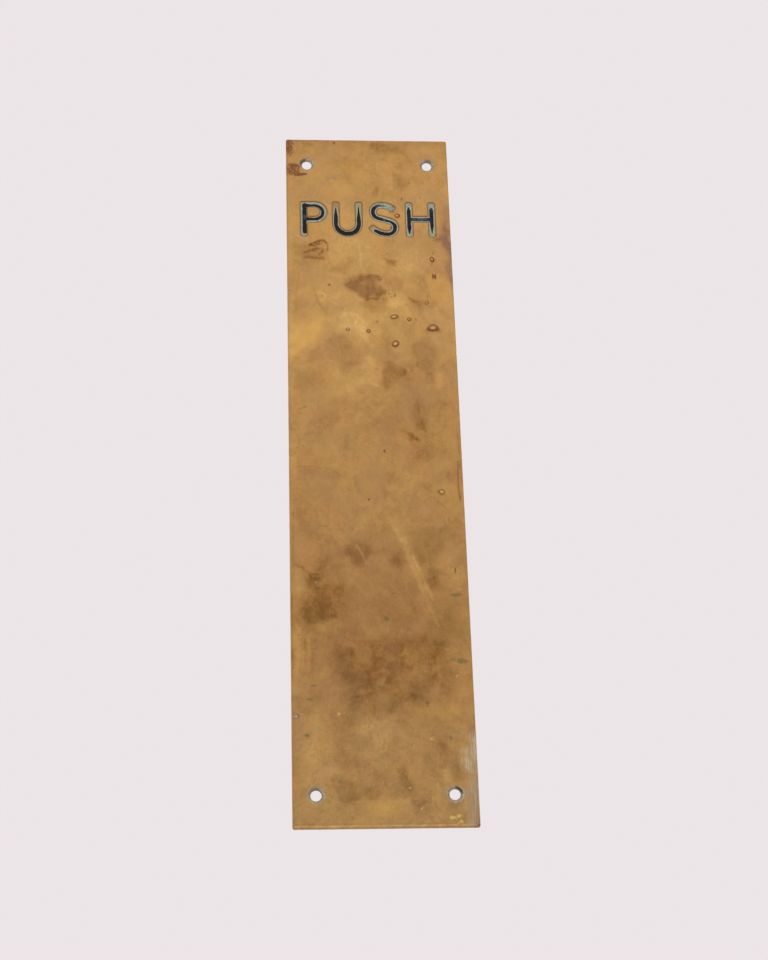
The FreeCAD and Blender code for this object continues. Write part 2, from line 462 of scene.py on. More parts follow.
def thinned(points, gap):
    """Drops points that fall on top of an earlier one."""
    cells = np.round(points / gap).astype(np.int64)
    keys = cells[:, 0] * 1000003 + cells[:, 1]
    _, first = np.unique(keys, return_index=True)
    return points[np.sort(first)]


def edge_rings():
    """Rings down the plate's edge from the front face to the back: inset and y."""
    rings = []
    for a in np.radians(np.linspace(0.0, 90.0, 6)):
        inset = FRONT_EDGE_R * (1 - math.sin(a))
        rings.append((inset, -THICKNESS + FRONT_EDGE_R * (1 - math.cos(a))))
    for y in (-0.92, -0.64, -0.36, -0.16):
        rings.append((0.0, y))
    rings.append((0.02, -0.05))
    rings.append((BACK_EDGE, 0.0))
    return rings


def edge_wear(x, z, y):
    """How far a worn edge is pulled in from its ideal shape, in mm."""
    along = np.where(np.abs(x) > PLATE_HALF_W - 1.0, z, x + 400.0)
    shake = 0.034 + rough(along, y * 3.0, (0.022, 2.1, 21), (0.012, 0.7, 22))
    nick = np.maximum(value_noise(along, np.sign(x + z) * 50.0, 1.3, 23) - 0.72, 0.0) * 0.5
    return shake + nick


def add_part(store, points, triangles):
    """Collects vertices and faces of one part of the mesh."""
    base = sum(len(p) for p in store["points"])
    store["points"].append(points)
    store["faces"] += [tuple(int(i) + base for i in face) for face in triangles]


def quad_strip(store, upper, lower):
    """Quads between two closed rings with the same number of points."""
    n = len(upper)
    faces = [(i, n + i, n + (i + 1) % n, (i + 1) % n) for i in range(n)]
    add_part(store, np.vstack([upper, lower]), faces)


def with_holes(rim, radius):
    """A face's outline with rings round the holes, and which runs of points they are."""
    parts, loops = [rim], [(0, len(rim))]
    for hx, hz in holes():
        loops.append((sum(len(p) for p in parts), HOLE_SIDES))
        parts.append(ring(hx, hz, radius))
    return parts, loops


def face_triangles(flat, loops):
    """Triangles over one face, open at its holes."""
    triangles = triangulate(flat, loops)
    for first, count in loops[1:]:
        triangles = drop_inside(triangles, first, count)
    return triangles


def edge_distance(flat):
    """How far each point is inside the plate's outline."""
    return np.minimum(PLATE_HALF_W - np.abs(flat[:, 0]), PLATE_HALF_H - np.abs(flat[:, 1]))


def add_front(store):
    """The front face with its relief. Its outermost ring belongs to the eased edge and stays level."""
    rim = outline(FRONT_EDGE_R)
    parts, loops = with_holes(rim, HOLE_R)
    flat = np.vstack(parts + [front_points()])
    triangles = face_triangles(flat, loops)
    relief = front_relief(flat[:, 0], flat[:, 1]) * smooth(edge_distance(flat), FRONT_EDGE_R, 3.0)
    relief[: len(rim)] = 0.0
    for first, count in loops[1:]:
        relief[first : first + count] = SEAT_DEPTH
    add_part(store, lifted(flat, relief - THICKNESS), triangles)


def worn(p):
    """One ring of the edge, pulled in here and there by wear."""
    w, h = PLATE_HALF_W - 1.2, PLATE_HALF_H - 1.2
    middle = np.full(len(p), -THICKNESS * 0.5)
    inward = np.column_stack([np.clip(p[:, 0], -w, w), middle, np.clip(p[:, 2], -h, h)]) - p
    inward /= np.linalg.norm(inward, axis=1)[:, None]
    return p + inward * edge_wear(p[:, 0], p[:, 2], p[:, 1])[:, None]


def add_edge(store):
    """The plate's edge. The rings shared with the two faces stay as they are."""
    rings = [lifted(outline(inset), y) for inset, y in edge_rings()]
    rings[1:-1] = [worn(p) for p in rings[1:-1]]
    for upper, lower in zip(rings, rings[1:]):
        quad_strip(store, upper, lower)


def add_back(store):
    """The slightly uneven back face. Gives back its rings round the holes."""
    rim = outline(BACK_EDGE)
    parts, loops = with_holes(rim, HOLE_R + HOLE_EASE)
    w, h = PLATE_HALF_W - 1.4, PLATE_HALF_H - 1.4
    plain = grid(BACK_GRID, -w, w - 0.8, -h, h)
    collars = [ring(hx, hz, r, 32) for hx, hz in holes() for r in (2.45, 3.1)]
    flat = np.vstack(parts + collars + [outline(0.7)[::2], plain[clear_of_holes(plain, 3.6)]])
    triangles = face_triangles(flat, loops)
    bulge = 0.03 * (1 + cloud(flat[:, 0], flat[:, 1], 40.0, 61, 3))
    back = lifted(flat, -bulge * smooth(edge_distance(flat), 0.1, 4.0))
    back[: len(rim), 1] = 0.0
    add_part(store, back, triangles[:, ::-1])
    return [back[first : first + count].copy() for first, count in loops[1:]]


def add_hole_walls(store, back_rings):
    """The bores, from their seats down to the rings on the back."""
    for (hx, hz), edge in zip(holes(), back_rings):
        circle = ring(hx, hz, HOLE_R)
        low = lifted(circle, -HOLE_EASE_DEPTH)
        quad_strip(store, low, lifted(circle, SEAT_DEPTH - THICKNESS))
        quad_strip(store, edge, low)


def plate_geometry():
    store = {"points": [], "faces": []}
    add_front(store)
    add_edge(store)
    back_rings = add_back(store)
    add_hole_walls(store, back_rings)
    return store


def add_object(name, data):
    obj = bpy.data.objects.new(name, data)
    bpy.context.scene.collection.objects.link(obj)
    return obj


def build_mesh(name, store):
    points = np.vstack(store["points"]) * MM
    mesh = bpy.data.meshes.new(name)
    mesh.from_pydata(points.tolist(), [], store["faces"])
    mesh.validate()
    return add_object(name, mesh)


def weld(obj):
    """Joins the parts along their shared edges, so the piece is one closed skin."""
    bm = bmesh.new()
    bm.from_mesh(obj.data)
    bmesh.ops.remove_doubles(bm, verts=bm.verts, dist=1.0e-6)
    loose = [v for v in bm.verts if not v.link_faces]
    bmesh.ops.delete(bm, geom=loose, context="VERTS")
    open_edges = sum(1 for e in bm.edges if len(e.link_faces) != 2)
    print(obj.name, "faces", len(bm.faces), "verts", len(bm.verts), "open edges", open_edges)
    bm.to_mesh(obj.data)
    bm.free()
    obj.data.shade_smooth()


# ======================================================================
# What lies in the grooves: black enamel in the bottom, and a pale crust of
# dried polish and verdigris on the slopes
# ======================================================================
# Where the black narrows: x, z, radius with no black showing, radius where it has its full width.
TAPERS = {
    "p": [(-27.4, 104.0, 0.2, 1.8)],
    "u": [(-13.9, 119.7, 1.7, 7.0), (-4.15, 119.7, 1.1, 8.5)],
    "s": [(10.9, 117.4, 3.0, 9.0), (1.2, 108.0, 1.0, 2.8)],
    "h": [
        (17.4, 119.7, 1.0, 3.4),
        (27.1, 119.7, 0.9, 2.6),
        (17.4, 104.3, 0.4, 4.0),
        (27.1, 104.3, 0.8, 6.5),
    ],
}
BLACK_HALF = {"p": 0.60, "u": 0.70, "s": 0.70, "h": 0.70}
# The black lies a little off the strokes' middles, drawn smaller about a centre: x, z, how much.
BLACK_SHRINK = {"p": (-23.5, 115.5, 0.07), "u": (0, 0, 0), "s": (0, 0, 0), "h": (0, 0, 0)}
ENAMEL_DEPTH = 0.52
# How far the black and the crust reach from the strokes' cores, and how thick they are.
ENAMEL_REACH = 0.72
CRUST_REACH = 0.95
ENAMEL_THICKNESS = 0.4
CRUST_THICKNESS = 0.1
THINNEST_FILL = 0.04
DEEPEST_FILL = 0.9


def stroke_measure(cores, x, z):
    """Distance from the middle of a stroke, growing past its ends too."""
    best = np.full(np.shape(x), 1e9)
    for core in cores:
        past, across = core_frame(core, x, z)
        side = np.abs(across)
        spread = np.hypot(past, np.maximum(side - CORE_HALF, 0.0)) + np.minimum(side, CORE_HALF)
        best = np.minimum(best, spread)
    return best


def black_half(letter, x, z):
    """Half the width of black that shows at each place, fuller in the U's bowl and the P's stem."""
    width = BLACK_HALF[letter] + rough(x, z, (0.07, 1.7, 31), (0.05, 0.6, 32))
    if letter == "u":
        width = width + 0.16 * (1 - smooth(z, 104.5, 110.0))
    if letter == "p":
        width = width + 0.24 * (1 - smooth(x, -26.3, -25.2))
    for ex, ez, none, full in TAPERS[letter]:
        r = np.hypot(x - ex, z - ez) + 0.25 * value_noise(x, z, 1.1, 33)
        open_up = smooth(r, none, full)
        width = width * (0.25 + 0.75 * open_up) - 1.1 * (1.0 - smooth(r, none - 0.4, none + 0.5))
    return width


def enamel_depth(letter, x, z):
    """Depth of the black's surface, a little higher where it clings to the slopes."""
    m = stroke_measure(LETTERS[letter], x, z)
    level = ENAMEL_DEPTH - 0.13 * smooth(m, 0.35, 1.15)
    return level + rough(x, z, (0.02, 0.8, 41), (0.012, 0.35, 42))


def beyond_black(letter, x, z):
    """Distance past the edge of the black that shows, negative on the black."""
    cx, cz, shrink = BLACK_SHRINK[letter]
    m = stroke_measure(LETTERS[letter], x + (x - cx) * shrink, z + (z - cz) * shrink)
    return m - black_half(letter, x, z)


def crust_depth(letter, x, z):
    """Depth of the crust's surface: under the black in the middle, on the slopes beside it."""
    d = core_distance(LETTERS[letter], x, z)
    rise = smooth(beyond_black(letter, x, z), -0.10, 0.34)
    outer = 0.30 + rough(x, z, (0.05, 2.6, 53), (0.035, 0.75, 51), (0.03, 0.38, 52))
    level = (ENAMEL_DEPTH + 0.09) * (1 - rise) + outer * rise
    edge = smooth(d, 0.66, 0.86)
    return level * (1 - edge) + (groove_depth(d) + 0.06) * edge


def filling(name, letter, reach, spacing, depth_of, thickness):
    """A closed piece lying in one letter's groove, out to a distance from its core."""
    cores = LETTERS[letter]
    rims = np.vstack([core_outline(core, reach, spacing) for core in cores])
    d = core_distance(cores, rims[:, 0], rims[:, 1])
    rims = thinned(rims[d > reach - 0.01], spacing * 0.4)
    low, high = rims.min(axis=0), rims.max(axis=0)
    inner = grid(spacing, low[0], high[0], low[1], high[1])
    d = core_distance(cores, inner[:, 0], inner[:, 1])
    flat = np.vstack([rims, inner[d < reach - spacing * 0.45]])
    triangles = triangulate(flat, [])
    middle = flat[triangles].mean(axis=1)
    triangles = triangles[core_distance(cores, middle[:, 0], middle[:, 1]) < reach - 0.004]
    x, z = flat[:, 0], flat[:, 1]
    top = depth_of(letter, x, z)
    # Its underside reaches the groove's wall, and never goes far through the groove's floor.
    floor = np.maximum(top + thickness, groove_depth(core_distance(cores, x, z)) - 0.02)
    floor = np.minimum(floor, DEEPEST_FILL)
    front = lifted(flat, top - THICKNESS)
    back = lifted(flat, np.maximum(floor, top + THINNEST_FILL) - THICKNESS)
    faces = [tuple(t) for t in triangles.tolist()]
    edges = [edge for a, b, c in faces for edge in ((a, b), (b, c), (c, a))]
    shared = set(edges)
    border = [(a, b) for a, b in edges if (b, a) not in shared]
    n = len(flat)
    faces += [(c + n, b + n, a + n) for a, b, c in faces]
    faces += [(b, a, a + n, b + n) for a, b in border]
    obj = build_mesh(name, {"points": [np.vstack([front, back])], "faces": faces})
    weld(obj)
    return obj


# ======================================================================
# Marks on the brass, drawn in millimetres on the face. The stains
# are patches with borders, and their edges are roughened when they are laid.
# ======================================================================
# Height up the plate and how light the brass is there, from 0 dark to 1 light.
TONE_BY_HEIGHT = [
    (-152, 0.57), (-140, 0.53), (-118, 0.49), (-100, 0.42), (-85, 0.42), (-60, 0.41), (-40, 0.44),
    (-20, 0.49), (0, 0.51), (25, 0.53), (45, 0.56), (62, 0.61), (85, 0.6), (105, 0.6), (130, 0.545),
    (140, 0.49), (152, 0.39),
]
# Distance from a letter's stroke, and how dark the groove's wall and rim are there: tarnish with painted
# shade.
GROOVE_TARNISH_AND_SHADE = [(0.0, 0.9), (0.5, 0.95), (0.95, 1.0), (1.10, 0.60), (1.22, 0.16), (1.5, 0.0)]

# Multiplies every patch's strength.
STAIN_STRENGTH = 1.22
# By what they do: strength, softness of the border, the border, and any fading towards the bottom.
PATCHES = {
# stains that darken:
"dark": [
    (0.47, 0.45, [(-13, 80.4), (-10, 82), (-8, 84), (-3, 85.4), (1, 85), (3.4, 84), (4.2, 82), (3.6, 79.6),
     (5, 78.6), (6.8, 77), (6.6, 75), (3, 72), (-1, 72), (-4, 75), (-6.5, 77.4), (-10, 79.3)]),
    (0.13, 0.7, [(-8.4, 82.4), (-3, 82.4), (-3.6, 80), (-8, 79.4)]),
    (0.14, 0.8, [(2.6, 79), (6.4, 77.8), (7, 75), (4.4, 73.4), (2.4, 75)]),
    (0.17, 0.7, [(5, 83), (10, 84), (13.6, 82), (13.4, 79), (11, 77), (8, 78), (6, 80)]),
    (0.28, 0.9, [(-3.6, 71.6), (0, 73), (4, 73.6), (7.6, 73.6), (7, 70), (4, 66.6), (0, 66),
     (-3.4, 69)], 0.3),
    (0.3, 0.5, [(5.8, 92.6), (9, 92), (12, 90.4), (12, 87.7), (9.4, 87.7), (7.2, 89.7)]),
    (0.1, 1.0, [(-17, 88), (-13, 90), (-9, 92.6), (-7.4, 91), (-8, 87.5), (-12, 85.4), (-17, 85.4)]),
    (0.08, 1.2, [(-18, 139), (-12, 141), (-9, 138), (-6, 141), (-4, 138), (-3, 132), (-10, 136)]),
    (0.19, 0.8, [(1, 151), (6, 152), (13, 150), (14, 146), (9, 144.6), (5, 147), (1, 148)]),
    (0.19, 0.9, [(10, 131), (12, 135.6), (16, 134), (17, 130), (14, 127), (11, 128)]),
    (0.2, 0.6, [(2, 126), (4, 128.8), (6, 127.5), (5.5, 124), (3, 123.5)]),
    (0.2, 0.9, [(-33, 98.6), (-29, 99), (-24, 99.4), (-18, 97.4), (-18, 93), (-21, 92), (-27, 91.4),
     (-30, 94)]),
    (0.27, 0.5, [(15, 73.6), (19, 73.2), (21.5, 70), (21, 66.6), (19.4, 68.3), (17, 71)]),
    (0.08, 2.2, [(16, 104), (32, 106), (32, 64), (18, 64)]),
    (0.08, 0.8, [(24, 85), (30, 86), (34, 82), (33.6, 72), (27, 71.5), (24, 75), (25, 80)]),
    (0.1, 1.2, [(-32, 92), (-26, 90), (-24, 82), (-28, 76), (-34, 80)]),
    (0.16, 0.6, [(-27.8, 41.4), (-25.5, 46), (-21.6, 49.6), (-20, 53), (-15.5, 56.6), (-10.5, 54), (-8, 50.4),
     (-4, 48), (-4.4, 43), (-8, 40), (-13, 37.4), (-15.5, 40.5), (-17.4, 44.6), (-21, 43.4),
     (-24.5, 41)], 0.3),
    (0.06, 0.9, [(-33.6, 34), (-29, 38.2), (-25, 39), (-20, 37.5), (-18, 33), (-20, 29), (-26, 29.4),
     (-31, 31)]),
    (0.12, 1.0, [(-26, 14), (-24, 21), (-18, 25.6), (-10, 27), (-8, 22), (-14, 19), (-15, 14), (-19, 11),
     (-24, 10)], 0.3),
    (0.26, 0.45, [(3.0, 29.6), (2.6, 34), (4.0, 38.4), (4.4, 42), (7.4, 43), (9.6, 40.6), (14.2, 39.2),
     (14.4, 37.6), (11, 36.6), (8.8, 34), (6.4, 31)], 0.35),
    (0.12, 0.9, [(4.6, 42), (4, 50), (4.8, 56), (7, 55), (9, 48), (11, 44), (10, 40)]),
    (0.25, 0.8, [(16, 52), (19, 54), (24, 53.6), (26, 50), (27.6, 46), (26, 41), (24.6, 37), (24, 33),
     (22.5, 33), (21.4, 38), (18.4, 41), (18, 45), (15.4, 49)], 0.3),
    (0.11, 1.0, [(13, 26), (17, 28), (21, 25), (23, 20), (22, 15), (21, 10.5), (18, 13), (15, 16), (14, 21)]),
    (0.08, 0.8, [(17, 15), (19.4, 15.6), (21.6, 12), (21, 10), (18.6, 12)]),
    (0.2, 0.5, [(10.5, 12.4), (14, 12), (17, 9), (17, 6.4), (15, 7), (13, 10), (10.5, 10.5)]),
    (0.06, 1.3, [(17, 4), (20, 10), (25, 11), (29, 12), (32, 8), (31, 1), (27, -2), (20, -2), (17, 0)]),
    (0.08, 2.4, [(12, 45), (33, 45), (36, 20), (36, -12), (24, -14), (14, 0), (-4, 8), (-4, 28), (10, 30)]),
    (0.09, 0.6, [(-31, -6.8), (-27, -5), (-21, -5), (-17, -7.4), (-15, -10.4), (-19, -9.6), (-27, -9)]),
    (0.12, 0.5, [(-9, -9), (-6.5, -8), (-6, -16), (-8.5, -14.5)]),
    (0.13, 0.5, [(5, -7), (8, -8), (8.5, -11), (6, -14), (4, -12)]),
    (0.21, 0.6, [(-13.6, -39), (-9, -37.4), (-4.4, -38.4), (-2.4, -42), (-5, -44), (-6.5, -47), (-9.5, -48.5),
     (-11.5, -45), (-13.5, -42)]),
    (0.1, 0.6, [(-12.4, -40), (-9.4, -40.5), (-9, -45.4), (-11.6, -44)]),
    (0.17, 1.2, [(-28.4, -52), (-26.6, -50), (-23.4, -50), (-22, -53), (-22.4, -58), (-21.4, -60.4),
     (-19.4, -63), (-18, -66.4), (-17.8, -69.6), (-20, -71.4), (-24, -70.4), (-28.4, -71.6), (-30.2, -68),
     (-30.6, -62), (-29.4, -57)]),
    (0.03, 1.4, [(-29.6, -60), (-24.4, -59), (-20.6, -63.6), (-20, -69), (-24, -70.6), (-29.6, -69)]),
    (0.06, 1.0, [(-28.4, -62), (-25.4, -60.6), (-23.6, -63), (-24.6, -66), (-28, -66.4)]),
    (0.05, 0.8, [(-23.4, -63.6), (-20, -64.6), (-18.2, -68), (-20, -70.4), (-23, -69)]),
    (0.05, 0.8, [(-27.6, -50.4), (-23.4, -50.6), (-22.6, -55), (-25, -56.8), (-27, -55.6)]),
    (0.12, 0.6, [(-24, -48.6), (-23.2, -45.4), (-20.6, -44.6), (-20, -47), (-21, -50)]),
    (0.13, 0.9, [(-18.8, -58.6), (-17.4, -56), (-15, -54.4), (-14, -55.6), (-15.4, -58), (-18, -59.8)]),
    (0.1, 0.9, [(12, -34), (16, -31), (20, -30.4), (28, -31), (31, -36), (24, -41), (22, -52), (17, -48)]),
    (0.17, 0.6, [(5, -42), (9, -41), (11, -45), (10, -49), (7, -48), (5, -45)]),
    (0.18, 0.6, [(20, -50), (24, -49), (24.5, -55), (22, -58), (20, -55)]),
    (0.15, 2.2, [(-17, -82), (0, -80), (19, -76), (24, -84), (22, -98), (18, -106), (4, -108), (-13, -111),
     (-17, -100)]),
    (0.03, 1.7, [(-4, -84), (4, -82), (10, -86), (10, -96), (4, -99), (-3, -100), (-6, -92)]),
    (0.08, 2.2, [(-22, -44), (0, -38), (10, -44), (18, -66), (30, -62), (31, -84), (-20, -84), (-31, -70)]),
    (0.14, 1.3, [(-18, -83), (-15, -84), (-12, -88), (-9, -91), (-5, -93), (-3.4, -97), (-4.6, -101),
     (-9, -100), (-10.4, -104), (-12, -108), (-14, -104), (-14.4, -98), (-17, -94), (-19, -92), (-18, -88)]),
    (0.09, 1.2, [(-17, -92), (-14, -90), (-12, -95), (-11, -100), (-13, -102), (-15, -97)]),
    (0.03, 1.2, [(-1, -85), (1, -86), (4, -88.5), (8, -90), (9, -95), (5, -97), (1, -95), (-2, -92),
     (-2.5, -88)]),
    (0.17, 1.3, [(-7, -92), (2, -91.6), (5, -94), (4, -99), (-5, -100)]),
    (0.13, 1.2, [(10, -102), (11, -97), (15, -96), (20, -94.4), (20, -98), (17, -102), (18, -106), (16, -106),
     (14, -103)]),
    (0.18, 1.0, [(20, -88), (24, -84), (25, -79), (21, -78), (19, -82), (18, -88)]),
    (0.1, 1.0, [(20, -90), (25, -88), (28, -92), (29, -97), (27, -103), (23, -103), (22, -98), (20, -93)]),
    (0.15, 1.0, [(1, -106), (4, -104), (4.5, -107), (2, -108), (0, -107)]),
    (0.15, 1.0, [(3, -111), (8, -110), (10, -112), (10.5, -118), (8.5, -116), (4, -112)]),
    (0.12, 1.7, [(-20, -106), (-12, -107), (-10, -112), (-12, -120), (-17, -121), (-19, -114)]),
    (0.17, 1.2, [(19, -118), (22, -117), (24.5, -118), (24, -121), (22, -125), (20, -124), (19, -121)]),
    (0.16, 1.2, [(-19, -126), (-17, -122), (-13, -122), (-10, -127), (-5, -128), (-8, -130), (-14, -130)]),
    (0.1, 2.0, [(-8, -132), (10, -131), (14, -142), (10, -148), (-4, -147), (-10, -140)]),
    (0.08, 2.0, [(12, -103), (29, -103), (29, -132), (16, -132)]),
    (0.24, 0.8, [(32, -114.4), (36, -113), (36, -118), (33.6, -118.8), (31.8, -116.8)]),
    (0.3, 0.8, [(32.4, -150.6), (36, -148.6), (36, -153), (32, -153)]),
    (0.2, 0.9, [(-19, -133), (-13, -132), (-9, -135), (-4, -136), (-1, -140), (-3, -144), (-9, -142),
     (-14, -144), (-18, -141), (-20, -137)]),
    (0.22, 0.6, [(5, -130), (9, -129), (9.5, -134), (11, -137), (9, -139), (5, -136)]),
    (0.18, 0.6, [(10.5, -142), (13, -141), (16, -142.5), (15.5, -144.5), (16, -149), (17, -151), (12, -150),
     (11, -145)]),
    (0.14, 0.5, [(11, -142.4), (14, -142), (15, -144), (12, -145)]),
    (0.13, 0.8, [(26, -128), (29, -129), (29, -138), (27, -146), (24, -146), (25, -140)]),
],
# a dull pinkish film:
"mauve": [
    (0.5, 0.7, [(-12, 80.6), (-3, 85), (3, 83.6), (6, 77), (3, 72.6), (-3, 75)]),
    (0.3, 1.2, [(24, 106), (28, 108), (31, 102), (31, 96), (27, 98)]),
    (0.55, 0.9, [(-33, 71.4), (-30, 74.4), (-27, 73), (-26, 70), (-29, 67.4), (-32, 67)]),
    (0.5, 0.6, [(-27.4, 41.8), (-24.6, 47), (-20, 50.6), (-15, 52), (-14, 47), (-20, 44.4), (-24, 41.4)]),
    (0.2, 1.0, [(-24, 15), (-22, 21), (-16, 25), (-10, 26), (-15, 19), (-18, 12)]),
    (0.4, 0.6, [(0.8, 42), (0.8, 48), (4, 49.4), (5.4, 42)]),
    (0.6, 0.8, [(16, 52), (19, 54), (24, 53.6), (27.4, 46), (24.4, 35), (21.4, 38), (18, 45)], 0.3),
    (0.75, 0.7, [(10, 34), (14, 34), (19, 31), (22, 27), (24, 22), (22, 20), (18, 23), (14, 23), (11, 27)]),
    (0.5, 0.8, [(0, 12), (3, 16), (7, 15), (9, 12), (6, 9), (6, 3), (2, 0), (-2, 0), (0, 6)]),
    (0.75, 0.4, [(-31, -6.8), (-27, -5), (-21, -5), (-17, -7.4), (-15.4, -10), (-16, -16), (-19, -20),
     (-24, -19), (-24, -12), (-29, -11)], 0.3),
    (0.7, 0.6, [(-8, -7), (-5, -3), (0, -1), (4, -4), (5, -8), (4, -14), (2, -18), (-3, -20), (-7, -17),
     (-9, -12)], 0.3),
    (0.35, 1.2, [(11, -20), (13, -14), (16, -15), (17, -20), (17, -27), (12, -26)]),
    (0.42, 1.6, [(-20, -43), (-13, -36), (4, -34), (9, -43), (13, -52), (17, -62), (20, -72), (15, -80),
     (-20, -80), (-22, -72), (-15, -68), (-13, -60), (-20, -52)]),
    (0.55, 0.8, [(-36, -104), (-31.6, -106), (-31, -125), (-32, -140), (-36, -144)]),
    (0.25, 1.2, [(-30, -96), (-24, -97), (-19, -98), (-18, -103), (-24, -104)]),
],
# a greenish brown film:
"olive": [
    (0.2, 0.9, [(-17, 88), (-13, 90), (-9, 92.6), (-7.4, 91), (-8, 87.5), (-12, 85.4), (-17, 85.4)]),
    (0.2, 1.0, [(-33, 34), (-29, 38), (-25, 38), (-21, 34), (-19, 28), (-22, 22), (-30, 26)]),
    (0.16, 1.3, [(17, 4), (20, 10), (25, 24), (29, 24), (32, 8), (31, 1), (27, -2), (20, -2)]),
    (0.8, 0.5, [(-12.8, 9), (-11, 9.5), (-10.2, 5), (-10.8, 2.5), (-12.5, 3)]),
    (0.25, 0.9, [(-24.4, -49), (-23.4, -45), (-20, -44.4), (-20.4, -50), (-22, -57), (-18, -68), (-22, -71),
     (-30, -72), (-32, -62), (-30, -54)]),
    (0.6, 0.9, [(12, -34), (16, -31), (20, -30.4), (28, -31), (31, -36), (29, -39), (24, -41), (25, -46),
     (23, -52), (20, -54), (17, -48), (14, -40)]),
    (0.45, 1.2, [(-32, -24), (-27, -27), (-24, -29), (-20, -31), (-19, -34), (-25, -34), (-29, -36),
     (-33, -33)]),
    (0.5, 1.2, [(22, -60), (33, -58), (34, -78), (24, -84), (16, -78), (15, -72)]),
    (0.2, 1.0, [(18, -88), (25, -79), (30, -82), (29, -97), (24, -104), (30, -112), (14, -115), (13, -104)]),
],
# yellower, freshly rubbed brass:
"gold": [
    (0.45, 1.4, [(-18, 139), (-12, 141), (-9, 138), (-6, 141), (-4, 138), (-3, 132), (-10, 136)]),
    (0.6, 0.8, [(24, 85), (30, 86), (34, 82), (33.6, 72), (27, 71.5), (24, 75), (25, 80)]),
    (0.65, 1.6, [(-34, 42), (-30, 46), (-25, 52), (-19, 57), (-18, 63), (-22, 66), (-28, 62), (-34, 63)]),
    (0.6, 0.9, [(24.6, 38), (28, 38), (29.4, 33), (27.6, 29), (25.4, 31)]),
    (0.35, 1.2, [(-9, -141), (-3, -143), (3, -142), (9, -141), (9.5, -147), (4, -149), (-2, -148.5),
     (-6, -145.5)]),
    (0.5, 1.0, [(-34, -76), (-31, -76), (-30.6, -96), (-34, -98)]),
    (0.4, 1.0, [(12, -104), (30, -104), (28, -110), (18, -110), (12, -108)]),
],
# purple-brown burns at the right edge:
"purple": [
    (0.28, 1.6, [(29.6, 118), (31, 112), (30.2, 106), (29.8, 102), (31, 98), (32, 92), (33.2, 84), (34.6, 76),
     (37, 90), (37, 121), (32.4, 122)]),
    (0.42, 0.8, [(30.6, 110), (30.2, 104), (31, 99.6), (32.2, 95), (33, 88), (34.2, 78), (36, 76), (36, 98),
     (33.8, 108), (32.2, 112)]),
    (0.4, 0.8, [(33.0, -129), (36, -128), (36, -153), (32.6, -153)]),
],
# bare, lighter brass:
"pale": [
    (0.13, 1.4, [(12, 98), (20, 99), (24, 93), (23, 86), (16, 85), (13, 90)]),
    (0.06, 1.4, [(-16, 101), (-4, 103), (3, 98), (4, 91), (-2, 87), (-8, 93), (-16, 94)]),
    (0.12, 1.2, [(-22, 80), (-16, 82), (-13, 77), (-10, 70), (-16, 68), (-22, 72)]),
    (0.1, 1.2, [(8, 72), (13, 74), (14, 69), (10, 66), (7, 68)]),
    (0.15, 1.2, [(-34, 43), (-28, 50), (-22, 57), (-20, 63), (-28, 61), (-34, 62)]),
    (0.17, 1.4, [(-18, 62), (-12, 68), (-6, 67), (-2, 62), (-0.5, 55), (-1, 50), (-5, 51), (-8, 54),
     (-11, 56.5), (-15, 58)]),
    (0.14, 1.0, [(-4, 46), (-0.5, 46), (3, 40), (2.8, 34), (1.2, 31), (-3, 32), (-9, 33), (-10, 29),
     (-13, 29), (-12, 35), (-6, 36), (-3, 40)]),
    (0.09, 1.0, [(22, 68), (27, 70), (30, 67), (30, 63), (24, 63), (21, 65)]),
    (0.12, 0.9, [(27, -42), (31, -45), (33.6, -52), (31, -58), (28, -55)]),
    (0.16, 0.9, [(-34, -48), (-29.6, -50), (-30, -57), (-34, -60)]),
    (0.13, 1.0, [(-11, -113), (-5, -110.5), (0, -110), (3, -113), (4, -117), (2, -122), (-1, -123.5),
     (-4, -120), (-7, -117.5), (-11, -118)]),
    (0.14, 0.9, [(-11, -80), (-6, -82), (-3, -84), (-4, -88), (-9, -89), (-12, -85)]),
    (0.08, 2.0, [(-33, -116), (-18, -118), (-16, -132), (-20, -148), (-33, -148)]),
    (0.13, 1.2, [(-8, -141.5), (3, -142), (9, -141.4), (9.5, -147), (4, -149), (-3, -148)]),
    (0.14, 0.8, [(22.5, -128), (25, -128), (25, -137), (22, -137), (21.5, -132)]),
    (0.14, 1.0, [(-34, -70), (-31, -72), (-30.6, -96), (-34, -104)]),
    (0.13, 0.9, [(-28, -104), (-24.5, -106), (-23.6, -136), (-26.5, -135), (-27.5, -120)]),
],
# a dry whitish bloom at the lower right:
"haze": [
    (0.4, 1.2, [(30.4, -116), (31.6, -121), (29.6, -123.6), (29.4, -130.6), (31, -133), (31.2, -140),
     (31.4, -147), (30, -152), (36, -152), (36, -116)]),
    (0.42, 0.6, [(29.8, -123.4), (31.6, -122.8), (32.6, -128), (31.4, -131), (30, -129.8)]),
    (0.3, 0.5, [(33.2, -118), (36, -118), (36, -150), (33, -150), (33.6, -132)]),
],
}

